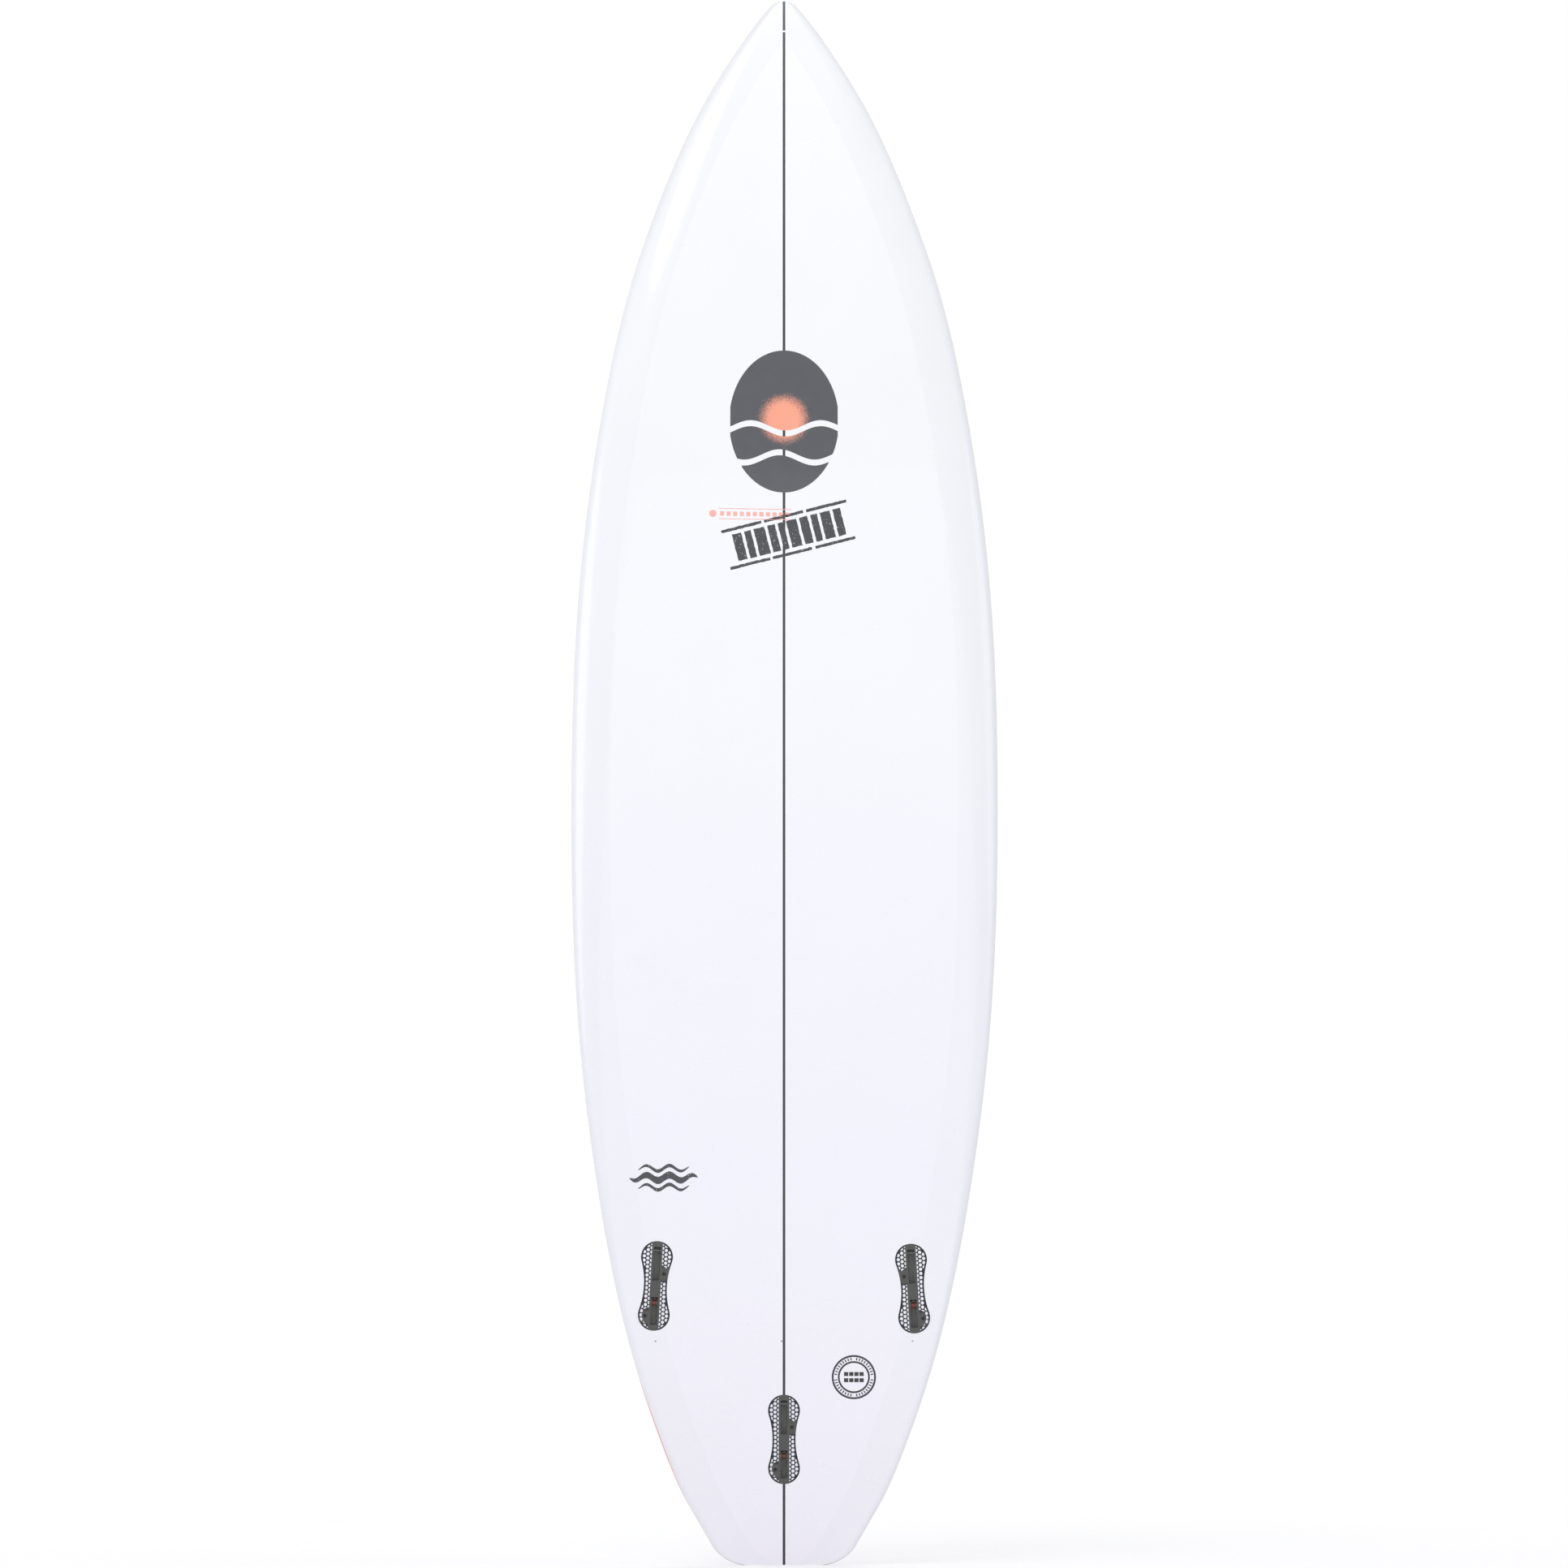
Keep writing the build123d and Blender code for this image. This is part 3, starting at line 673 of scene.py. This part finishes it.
# ---- plug and cup frames --------------------------------------------------------------------
class SurfaceFrame:
    """Axes on the skin at (x, z): u forward along the board, v across, n out of the board."""

    def __init__(self, surface_y, x, z, outward, toe=0.0):
        slope_x = (surface_y(x + 1, z) - surface_y(x - 1, z)) / 2
        slope_z = (surface_y(x, z + 1) - surface_y(x, z - 1)) / 2
        normal = np.array([-slope_x, 1, -slope_z], float) * outward
        self.n = normal / np.linalg.norm(normal)
        turn = math.radians(toe)
        heading = np.array([math.sin(turn), 0, math.cos(turn)])
        forward = heading - self.n * heading.dot(self.n)
        self.u = forward / np.linalg.norm(forward)
        self.v = np.cross(self.n, self.u)
        self.origin = np.array([x, surface_y(x, z), z], float)

    def place(self, spots, n=0.0):
        """Points (u, v) at height n over the skin, in the board's frame."""
        spots = np.asarray(spots, float)
        flat = spots[:, :1] * self.u + spots[:, 1:2] * self.v
        return self.origin + flat + n * self.n


def deck_y(x, z):
    """Y of the deck at one point."""
    section = Sections([z])
    t = halving(lambda t: section.deck(t)[0] > abs(x), (1, 1))
    return float((section.deck(t)[1] + section.base)[0, 0])


LOBE_POINTS = 40
WAIST_POINTS = 14


def peanut(grow):
    """Corners (u, v) of the plug's two-lobed outline, grown by grow."""
    waist_v = WAIST_HALF + WAIST_R
    lean = math.atan2(waist_v, LOBE_U)
    turn = np.linspace(lean - math.pi, math.pi - lean, LOBE_POINTS)
    lobe = np.column_stack([np.cos(turn), np.sin(turn)]) * (LOBE_R + grow) + (LOBE_U, 0)
    turn = np.linspace(-lean, lean - math.pi, WAIST_POINTS)[1:-1]
    waist = np.column_stack([np.cos(turn), np.sin(turn)]) * (WAIST_R - grow) + (0, waist_v)
    half = np.concatenate([lobe, waist])
    return np.concatenate([half, -half])


def circle(radius, count=64):
    """Corners of a round outline about the origin."""
    turn = np.linspace(0, math.tau, count, endpoint=False)
    return np.column_stack([np.cos(turn), np.sin(turn)]) * radius


def prism(frame_at, outline, low, high):
    """A hidden cutting solid over an outline (u, v) between two heights."""
    count = len(outline)
    points = np.concatenate([frame_at.place(outline, low), frame_at.place(outline, high)])
    faces = [list(range(count)), list(range(count, 2 * count))]
    faces += [[i, (i + 1) % count, count + (i + 1) % count, count + i] for i in range(count)]
    cutter = bpy.data.objects.new("cutter", mesh_of("cutter", points, faces))
    bpy.context.collection.objects.link(cutter)
    return cutter


plug_frames = {
    name: SurfaceFrame(bottom_y, x, z, -1, toe) for name, (x, z, toe, _) in FIN_PLUGS.items()
}
leash_frame = SurfaceFrame(deck_y, *LEASH_SPOT, 1)


# ---- looks of the CAD nodes -----------------------------------------------------------------
# (u, v) of the grey pads, and the metres over which grey turns to blue-black
PAD_CENTRES = ((14.5, 9.5), (-37.0, -9.0))
PAD_REACH = (0.0070, 0.0095)
BAR_REACH = (0.0062, 0.0068)
WEB_BLACK = srgb(28, 31, 40)
PAD_GREY = srgb(78, 78, 77)
FIBRE_GREY = srgb(104, 104, 106)


def flange_nylon(name, frame_at, hand):
    """Grey on the slot bar and the two screw pads, blue-black on the thin webs and the rim."""
    shader = Shader(name)

    def vector(operation, a, b, output="Value"):
        made = shader.node("ShaderNodeVectorMath", {0: a, 1: b}, operation=operation)
        return made.outputs[output]

    offset = vector("SUBTRACT", shader.place, tuple(frame_at.origin * MM), "Vector")
    across = shader.math("ABSOLUTE", vector("DOT_PRODUCT", offset, tuple(frame_at.v)))
    solid = shader.spread(across, *BAR_REACH, 1.0, 0.0)
    for u, v in PAD_CENTRES:
        centre = frame_at.place([(u, v * hand)])[0] * MM
        away = vector("DISTANCE", shader.place, tuple(centre))
        solid = shader.math("MAXIMUM", solid, shader.spread(away, *PAD_REACH, 1.0, 0.0))
    toned = shader.mix(solid, WEB_BLACK, PAD_GREY)
    toned = shader.mix(glass_fibres(shader, 0.3), toned, FIBRE_GREY)
    return nylon_surface(shader, toned, NYLON_ROUGHNESS)


def node_material(part):
    """The material of one CAD node, None for the laminates, which the two skins replace."""
    kind, _, side = part["node"].rpartition("_")
    if kind == "fin_plug_flange":
        return flange_nylon(f"flange_nylon_{side}", plug_frames[side], FIN_PLUGS[side][3])
    if kind == "fin_plug_box":
        return slot_nylon_painted_light
    if kind == "hook_bar":
        return hook_metal_painted_light
    return NODE_MATERIALS.get(part["material_slot"])


for part in frame["record"]["subparts"]:
    material = node_material(part)
    if material:
        mesh = frame["nodes"][part["node"]].data
        mesh.materials.clear()
        mesh.materials.append(material)


# ---- skins ----------------------------------------------------------------------------------
TAIL_STATIONS = 26
BODY_STATIONS = 262
NOSE_STATIONS = 22
# points on one side of the board
FLAT_POINTS = 30
TUCK_POINTS = 20
LAP_POINTS = 3
DECK_POINTS = 46


def station_heights():
    """Section heights: even along the tail corner arc, the body and the nose arc."""
    corner = math.acos(1 - TAIL_CORNER_TOP / TAIL_CORNER_R)
    tail = TAIL_CORNER_R * (1 - np.cos(np.linspace(0, corner, TAIL_STATIONS)))
    start = math.asin((NOSE_ARC_BASE - NOSE_CENTRE_Z) / NOSE_R)
    end = math.asin((LENGTH - NOSE_CENTRE_Z) / NOSE_R)
    nose = NOSE_CENTRE_Z + NOSE_R * np.sin(np.linspace(start, end, NOSE_STATIONS))
    body = np.linspace(TAIL_CORNER_TOP, NOSE_ARC_BASE, BODY_STATIONS)[1:-1]
    return np.concatenate([tail, body, nose])


def bottom_points(inset, end_inset):
    sections = Sections(station_heights(), inset, end_inset)
    return sections.points([
        sections.bottom(np.linspace(0, 1, FLAT_POINTS)),
        sections.tuck(np.linspace(0, 1, TUCK_POINTS)[1:]),
        sections.deck(sections.seam() * np.linspace(0, 1, LAP_POINTS)[1:]),
    ])


def deck_points(inset, end_inset):
    sections = Sections(station_heights(), inset, end_inset)
    seam, strip = sections.seam(), sections.strip()
    t = strip + (seam - strip) * np.linspace(0, 1, DECK_POINTS)
    return sections.points([sections.deck(t)])


def skin(name, points_at, cutters, node):
    """One of the two glass skins, with the stringer strip as faces of its own.

    rail_gap is each point's distance from the rail, in metres, for the skin's material."""
    outer, inner = points_at(0, 0), points_at(SKIN, END_SKIN)
    mesh = shell_mesh(name, outer, inner)
    rows, columns = outer.shape[:2]
    middle = columns // 2 - 1
    for row in range(rows - 1):
        mesh.polygons[row * (columns - 1) + middle].material_index = 1
    gap = np.tile(half_width(station_heights())[:, None], (2, columns))
    gap = (gap - np.abs(np.concatenate([outer, inner])[:, :, 0])) * MM
    attribute = mesh.attributes.new("rail_gap", "FLOAT", "POINT")
    attribute.data.foreach_set("value", gap.ravel().astype(np.float32))
    piece = add_object(name, mesh, [skin_white, stringer_line])
    carve(piece, cutters)
    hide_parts(node)


plug_cutters = [
    prism(place, peanut(PLUG_GAP), -PLUG_DEPTH, PROUD) for place in plug_frames.values()
]
leash_cutter = prism(leash_frame, circle(CUP_R + PLUG_GAP), -CUP_DEPTH, PROUD)
skin("bottom_glass", bottom_points, plug_cutters, "bottom_laminate")
skin("deck_glass", deck_points, [leash_cutter], "deck_laminate")


# ---- thin pieces that follow the bottom -----------------------------------------------------
FILM_STEP = 12.0           # largest facet of a print, so that it follows the bottom's curves
FILM_PROUD = 0.12
FILM_SUNK = 0.15
WELD = 1e-3


def film(name, outlines, material, near=-FILM_PROUD, far=FILM_SUNK):
    """A closed film over the bottom that fills outlines of (x, z) points.

    near and far are how deep its two faces lie below the bottom's surface."""
    shape = bmesh.new()
    for outline in outlines:
        shape.faces.new([shape.verts.new((x, 0, z)) for x, z in outline])
    bmesh.ops.remove_doubles(shape, verts=shape.verts, dist=WELD)
    bmesh.ops.triangulate(shape, faces=shape.faces)
    corners = np.array([vert.co for vert in shape.verts])
    for axis in (0, 2):
        normal = Vector([float(i == axis) for i in range(3)])
        for step in np.arange(corners[:, axis].min(), corners[:, axis].max(), FILM_STEP)[1:]:
            everything = [*shape.verts, *shape.edges, *shape.faces]
            bmesh.ops.bisect_plane(shape, geom=everything, plane_co=normal * step, plane_no=normal)
    lower = list(shape.verts)
    raised = bmesh.ops.extrude_face_region(shape, geom=shape.faces[:])["geom"]
    for vert in lower:
        vert.co.y = bottom_y(vert.co.x, vert.co.z) + far
    for vert in raised:
        if isinstance(vert, bmesh.types.BMVert):
            vert.co.y = bottom_y(vert.co.x, vert.co.z) + near
    bmesh.ops.scale(shape, vec=(MM, MM, MM), verts=shape.verts)
    bmesh.ops.recalc_face_normals(shape, faces=shape.faces)
    mesh = bpy.data.meshes.new(name)
    shape.to_mesh(mesh)
    shape.free()
    return add_object(name, mesh, [material])


# ---- resin in the plugs' cells --------------------------------------------------------------
RESIN_EDGE = 0.9           # the poured sheet's edge runs inside the plug's solid rim
RESIN_RECESS = 0.08
RESIN_DEPTH = 2.1


def side_outline(side):
    """Outline (u, v) of the cells' area on one side of the slot bar."""
    rim = peanut(-RESIN_EDGE)
    kept = rim[rim[:, 1] * side > BAR_HALF - RESIN_EDGE]
    kept = kept[np.argsort(kept[:, 0])]
    bar_v = side * (BAR_HALF - RESIN_EDGE)
    return np.concatenate([kept, [(kept[-1, 0], bar_v), (kept[0, 0], bar_v)]])


def welded_copy(node):
    """A hidden copy of a CAD node's mesh with its split corners joined, to cut with."""
    shape = bmesh.new()
    shape.from_mesh(frame["nodes"][node].data)
    bmesh.ops.remove_doubles(shape, verts=shape.verts, dist=WELD * MM)
    mesh = bpy.data.meshes.new("cutter")
    shape.to_mesh(mesh)
    shape.free()
    copy = bpy.data.objects.new("cutter", mesh)
    bpy.context.collection.objects.link(copy)
    return copy


PAD_SHRINK = 0.88          # the resin's cut for a pad ends inside the solid pad
SCREW_SPOTS = ((14.5, 8.2), (-35.5, -9.2))
SCREW_CLEAR = 3.1          # the resin keeps this far from the middle of each leaning screw hole
cell_resin = cured_resin()
for plug, (_, _, _, hand) in FIN_PLUGS.items():
    place = plug_frames[plug]
    sheets = [place.place(side_outline(side))[:, [0, 2]] for side in (-1, 1)]
    resin = film(f"cell_resin_{plug}", sheets, cell_resin, RESIN_RECESS, RESIN_DEPTH)
    cutters = []
    for pad in (FRONT_PAD, REAR_PAD):
        outline = np.array(pad) * (1, hand)
        middle = outline.mean(0)
        outline = middle + (outline - middle) * PAD_SHRINK
        cutters.append(prism(place, outline, -PROUD, PROUD))
    for u, v in SCREW_SPOTS:
        cutters.append(prism(place, circle(SCREW_CLEAR) + (u, v * hand), -PROUD, PROUD))
    cutters.append(welded_copy(f"fin_plug_flange_{plug}"))
    carve(resin, cutters)


# ---- roller springs: ribbed rubber in place of the CAD's springs -----------------------------
SPRING_SPAN = (-15.25, -7.0)   # along the plug, from the carrier's plate to the bore's end
SPRING_DEPTH = 7.0
SPRING_R = 2.4
SPRING_GROOVE = 0.35
SPRING_RIBS = 4
RIB_STEPS = 8
SPRING_SIDES = 32


def spring_mesh(name, frame_at):
    """A round bar along the plug with shallow grooves round it, closed at both ends."""
    share = np.linspace(0, 1, SPRING_RIBS * RIB_STEPS + 1)
    across = circle(1.0, SPRING_SIDES)
    count = len(across)
    points = []
    for phase in share:
        along = SPRING_SPAN[0] + phase * np.ptp(SPRING_SPAN)
        radius = SPRING_R - SPRING_GROOVE * math.sin(math.pi * SPRING_RIBS * phase) ** 2
        spots = np.column_stack([np.full(count, along), radius * across[:, 0]])
        points.append(frame_at.place(spots, radius * across[:, 1:] - SPRING_DEPTH))
    faces = [list(range(count)), list(range((len(share) - 1) * count, len(share) * count))]
    for start in range(0, (len(share) - 1) * count, count):
        for i in range(count):
            beside = (i + 1) % count
            faces.append([start + i, start + beside, start + count + beside, start + count + i])
    return mesh_of(name, np.concatenate(points), faces)


spring_rubber = NODE_MATERIALS["spring_rubber"]
for plug, place in plug_frames.items():
    name = f"spring_rubber_{plug}"
    spring = add_object(name, spring_mesh(name, place), [spring_rubber])
    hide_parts(f"roller_spring_{plug}")
    fixed_end = place.place([(SPRING_SPAN[1], 0)], -SPRING_DEPTH)[0] * MM
    tuple(place.u)
    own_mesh(spring)


# ---- prints on the bottom -------------------------------------------------------------------
PRINT_SEED = 7
rng = np.random.default_rng(PRINT_SEED)


def turned(outline, angle, centre):
    """An outline turned about the origin and moved to a centre."""
    cosine, sine = math.cos(angle), math.sin(angle)
    matrix = np.array([[cosine, -sine], [sine, cosine]])
    return np.asarray(outline, float) @ matrix.T + centre


def box(x, z, wide, tall):
    """Corners of an upright rectangle about (x, z)."""
    return [(x - wide / 2, z - tall / 2), (x + wide / 2, z - tall / 2),
            (x + wide / 2, z + tall / 2), (x - wide / 2, z + tall / 2)]


def rough(outline, step=2.5, jitter=0.3):
    """The outline with its edges broken up, as a rubber stamp leaves them."""
    points = []
    outline = np.asarray(outline, float)
    for start, end in zip(outline, np.roll(outline, -1, axis=0)):
        count = max(int(np.linalg.norm(end - start) / step), 1)
        points += [start + (end - start) * i / count for i in range(count)]
    return np.array(points) + rng.uniform(-jitter, jitter, (len(points), 2))


def band(upper, lower, left, right, count=48):
    """The outline of the area between two curves over x."""
    x = np.linspace(left, right, count)
    keep = upper(x) > lower(x)
    x = x[keep]
    top = np.column_stack([x, upper(x)])
    return np.concatenate([np.column_stack([x, lower(x)]), top[::-1]])


def ring(radius, thick, count=72):
    """A ring about the origin, as quads."""
    turn = np.linspace(0, math.tau, count + 1)
    ways = np.column_stack([np.cos(turn), np.sin(turn)])
    inner, outer = ways * (radius - thick), ways * radius
    return [[inner[i], outer[i], outer[i + 1], inner[i + 1]] for i in range(count)]


# emblem: an upright oval of sun and sea, cut by two wavy gaps
EMBLEM_CENTRE = (0.0, 1335.0)
EMBLEM_HALF = (64.0, 83.0)
WAVE_HEIGHT = 6.0
WAVE_LENGTH = 82.0
WAVE_GAP = 7.0
WAVE_LEVELS = (-8.0, -42.0)


def oval(x):
    """The emblem's upper edge."""
    return EMBLEM_HALF[1] * np.sqrt(np.maximum(1 - (x / EMBLEM_HALF[0]) ** 2, 0))


def swell(level, offset):
    """A wavy line across the emblem."""
    def line(x):
        return level + offset + WAVE_HEIGHT * np.sin(math.tau * x / WAVE_LENGTH + level)
    return line


def emblem_bands():
    """The parts of the oval above, between and below the wavy gaps."""
    edges = [oval]
    for level in WAVE_LEVELS:
        edges += [swell(level, WAVE_GAP / 2), swell(level, -WAVE_GAP / 2)]
    edges.append(lambda x: -oval(x))
    for top, bottom in zip(edges[::2], edges[1::2]):
        def upper(x, top=top):
            return np.minimum(top(x), oval(x))

        def lower(x, bottom=bottom):
            return np.maximum(bottom(x), -oval(x))
        yield band(upper, lower, -EMBLEM_HALF[0], EMBLEM_HALF[0], 96) + EMBLEM_CENTRE


film("emblem_print", list(emblem_bands()), emblem_ink())

# stamp: a tilted block of upright bars between two broken lines
STAMP_CENTRE = (6.0, 1203.0)
STAMP_TILT = math.radians(14)
STAMP_BARS = (11, 8, 13, 9, 7, 12, 10, 8, 12, 9)
BAR_SPACE = 3.4
BAR_TALL = 32.0
LINE_OFF = 22.0
LINE_THICK = 3.4
LINE_RUNS = ((-76.0, -28.0), (-25.0, 22.0), (26.0, 74.0))


def stamp_outlines():
    """The stamp's bars and broken lines about its middle, before it is tilted."""
    start = -(sum(STAMP_BARS) + BAR_SPACE * (len(STAMP_BARS) - 1)) / 2
    for wide in STAMP_BARS:
        yield box(start + wide / 2, 0, wide, BAR_TALL)
        start += wide + BAR_SPACE
    for height in (-LINE_OFF, LINE_OFF):
        for left, right in LINE_RUNS:
            yield box((left + right) / 2, height, right - left, LINE_THICK)


stamp = [turned(rough(o), STAMP_TILT, STAMP_CENTRE) for o in stamp_outlines()]
film("stamp_print", stamp, dark_ink)

# a small salmon strip of dashes beside the stamp
STRIP_CENTRE = (-34.0, 1226.8)
STRIP_TILT = math.radians(-1)
STRIP_LONG = 84.0
STRIP_TALL = 12.0
STRIP_LINE = 0.8
DASHES = 11
DASH_SHARE = 0.62          # of the pitch
DASH_TALL = 5.0
SPOT_R = 4.2
SPOT_GAP = 7.0
FINE_JITTER = 0.12

strip_shapes = [box(0, z, STRIP_LONG, STRIP_LINE) for z in (-STRIP_TALL / 2, STRIP_TALL / 2)]
dash_pitch = STRIP_LONG / DASHES
for i in range(DASHES):
    dash_x = (i + 0.5) * dash_pitch - STRIP_LONG / 2
    strip_shapes.append(box(dash_x, 0, DASH_SHARE * dash_pitch, DASH_TALL))
strip_shapes.append(circle(SPOT_R, 24) - (STRIP_LONG / 2 + SPOT_GAP, 0))
strip = [turned(rough(o, jitter=FINE_JITTER), STRIP_TILT, STRIP_CENTRE) for o in strip_shapes]
film("salmon_print", strip, pale_salmon_ink)

# three short swells where the board's name would stand
SWELLS_CENTRE = (-140.3, 453.0)
SWELLS = ((11.0, 30.0, 2.2), (0.0, 40.0, 4.4), (-11.0, 30.0, 2.2))   # level, half length, thickness
SWELL_HEIGHT = 3.2
SWELL_LENGTH = 27


def swell_stroke(level, half, thick):
    """A wavy stroke that tapers to both ends."""
    def middle(x):
        return level + SWELL_HEIGHT * np.sin(math.tau * x / SWELL_LENGTH)

    def taper(x):
        return thick * np.sqrt(np.maximum(1 - (x / half) ** 2, 0.001))
    return band(lambda x: middle(x) + taper(x), lambda x: middle(x) - taper(x), -half, half)


swells = [swell_stroke(*stroke) + SWELLS_CENTRE for stroke in SWELLS]
film("swell_print", swells, dark_ink)

# round stamp: two rings with ticks between them and two rows of blocks in the middle
ROUND_CENTRE = (81.5, 220.0)
OUTER_RING = (25.8, 2.2)   # radius and thickness
INNER_RING = (18.7, 2.1)
TICKS = 40
TICK_BREAK = 10            # one tick in this many is left out
TICK = box(21.3, 0, 3.2, 1.3)
BLOCK_ROWS = (-3.6, 3.6)
BLOCK_COLUMNS = (-9.0, -3.0, 3.0, 9.0)
BLOCK_SIZE = (5.0, 4.6)

round_shapes = ring(*OUTER_RING) + ring(*INNER_RING)
for i in range(TICKS):
    if i % TICK_BREAK:
        round_shapes.append(turned(TICK, math.tau * i / TICKS, (0, 0)))
for z in BLOCK_ROWS:
    round_shapes += [box(x, z, *BLOCK_SIZE) for x in BLOCK_COLUMNS]
round_stamp = [np.array(o) + ROUND_CENTRE for o in round_shapes]
film("round_stamp_print", round_stamp, ring_ink)

# pencil dots that set out the fins
DOTS = ((-150.0, 262.0), (-2.6, 262.0), (150.0, 262.0))
DOT_R = 1.0
film("pencil_dots", [circle(DOT_R, 12) + dot for dot in DOTS], graphite)

# a spot of white filler across the stringer near the nose
FILLER_SPOT = (0, 1793.5)
FILLER_SIZE = (4.4, 1.8)
filler = ink("white_filler", (252, 253, 255), 0.8)
film("nose_filler", [box(*FILLER_SPOT, *FILLER_SIZE)], filler)

# ---- salmon flash on the left rail near the tail --------------------------------------------
FLASH_Z = (70.0, 216.0)
FLASH_TUCK = 0.55          # how far down the tuck it reaches, as a share of the curve
FLASH_DECK = 0.16          # how far over the deck it reaches, in the same way
FLASH_BLUNT = 0.02         # share of its taper that is cut off at each end


def flash_points(inset):
    """The flash's points round the left rail, at a depth of inset under the surface."""
    z = np.linspace(*FLASH_Z, 60)
    taper = np.sin(math.pi * np.linspace(FLASH_BLUNT, 1 - FLASH_BLUNT, len(z)))
    width = np.sqrt(taper)[:, None]
    sections = Sections(z, inset)
    parts = [sections.tuck(1 - FLASH_TUCK * width * np.linspace(1, 0, 12)),
             sections.deck(FLASH_DECK * width * np.linspace(0, 1, 20)[1:])]
    both_sides = sections.points(parts)
    return both_sides[:, :both_sides.shape[1] // 2]


flash = shell_mesh("rail_flash", flash_points(-FILM_PROUD), flash_points(FILM_SUNK))
add_object("rail_flash", flash, [salmon_ink])

# ---- stage ----------------------------------------------------------------------------------
FLOOR_R = 1.9
FLOOR_FADE = 0.7
FLOOR_LIFT = 0.14          # brightens the floor for the camera only
FLOOR_DARK = srgb(233, 233, 235)
FLOOR_PALE = srgb(240, 240, 242)


def floor():
    """A pale disc that fades out into the white surroundings."""
    shape = bmesh.new()
    bmesh.ops.create_circle(shape, cap_ends=True, radius=FLOOR_R, segments=96)
    mesh = bpy.data.meshes.new("floor")
    shape.to_mesh(mesh)
    shape.free()
    disc = bpy.data.objects.new("floor", mesh)
    bpy.context.collection.objects.link(disc)
    shader = Shader("floor_paper")
    node = shader.node
    tone = shader.mix(shader.noise(0.02, 4.0), FLOOR_DARK, FLOOR_PALE)
    paper = node("ShaderNodeBsdfDiffuse", {"Color": tone}).outputs[0]
    seen = node("ShaderNodeLightPath").outputs["Is Camera Ray"]
    lift = node("ShaderNodeEmission", {"Strength": shader.math("MULTIPLY", seen, FLOOR_LIFT)})
    lit = node("ShaderNodeAddShader", {0: paper, 1: lift.outputs[0]}).outputs[0]
    away = node("ShaderNodeVectorMath", {0: shader.place}, operation="LENGTH").outputs["Value"]
    fade = shader.spread(away, FLOOR_FADE, 0.95 * FLOOR_R)
    clear = node("ShaderNodeBsdfTransparent").outputs[0]
    mixed = node("ShaderNodeMixShader", {0: fade, 1: lit, 2: clear}).outputs[0]
    node("ShaderNodeOutputMaterial", {"Surface": mixed})
    mesh.materials.append(shader.material)
    return disc


floor()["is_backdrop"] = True


LIGHT_AIM = Vector((0, 0, 0.95))   # the middle of the board
# name, place, diameter, power
LIGHTS = (
    ("key", (-1.6, -4.4, 5.4), 3.5, 54),
    ("low_fill", (0.8, -7.0, 0.5), 5.0, 26),
    ("left_fill", (-5.0, -2.6, 1.4), 3.0, 28),
    ("right_fill", (5.0, -1.8, 1.4), 3.0, 15),
    ("back_key", (1.8, 5.2, 4.0), 3.5, 60),
    ("back_fill", (-3.2, 4.0, 1.2), 3.0, 24),
)


def area_light(name, place, size, power):
    """A round soft light that points at the middle of the board."""
    light = bpy.data.lights.new(name, "AREA")
    light.shape = "DISK"
    light.size = size
    light.energy = power
    lamp = bpy.data.objects.new(name, light)
    bpy.context.collection.objects.link(lamp)
    lamp.location = place
    lamp.rotation_euler = (LIGHT_AIM - Vector(place)).to_track_quat("-Z", "Y").to_euler()


for light in LIGHTS:
    area_light(*light)

SOFT_LIGHT = 0.81
BACKDROP = 1.0


def studio_world():
    """White to the camera, softer for the light that falls on the board."""
    world = bpy.data.worlds.new("studio")
    world.use_nodes = True
    tree = world.node_tree
    tree.nodes.clear()
    output = tree.nodes.new("ShaderNodeOutputWorld")
    choose = tree.nodes.new("ShaderNodeMixShader")
    seen = tree.nodes.new("ShaderNodeLightPath")
    tree.links.new(seen.outputs["Is Camera Ray"], choose.inputs[0])
    for slot, level in ((1, SOFT_LIGHT), (2, BACKDROP)):
        background = tree.nodes.new("ShaderNodeBackground")
        background.inputs["Color"].default_value = (level, level, level, 1)
        tree.links.new(background.outputs[0], choose.inputs[slot])
    tree.links.new(choose.outputs[0], output.inputs["Surface"])
    return world


scene = bpy.context.scene
scene.world = studio_world()
scene.view_settings.view_transform = "Standard"

# ---- camera: straight on to the bottom, far away so that the outline stays true --------------
CAMERA_DISTANCE = 24.0
CAMERA_HEIGHT = 0.9121
VIEW_HEIGHT = 1.8318       # of the frame, at the board
camera_data = bpy.data.cameras.new("camera")
camera_data.sensor_width = 36.0
camera_data.lens = camera_data.sensor_width * CAMERA_DISTANCE / VIEW_HEIGHT
camera_data.clip_end = 100.0
camera = bpy.data.objects.new("camera", camera_data)
bpy.context.collection.objects.link(camera)
camera.location = (0.0, -CAMERA_DISTANCE, CAMERA_HEIGHT)
camera.rotation_euler = (math.radians(90), 0, 0)
scene.camera = camera

boxes = {"cad": cad_box, "visual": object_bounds()}
{name: [list(corner) for corner in box_] for name, box_ in boxes.items()}
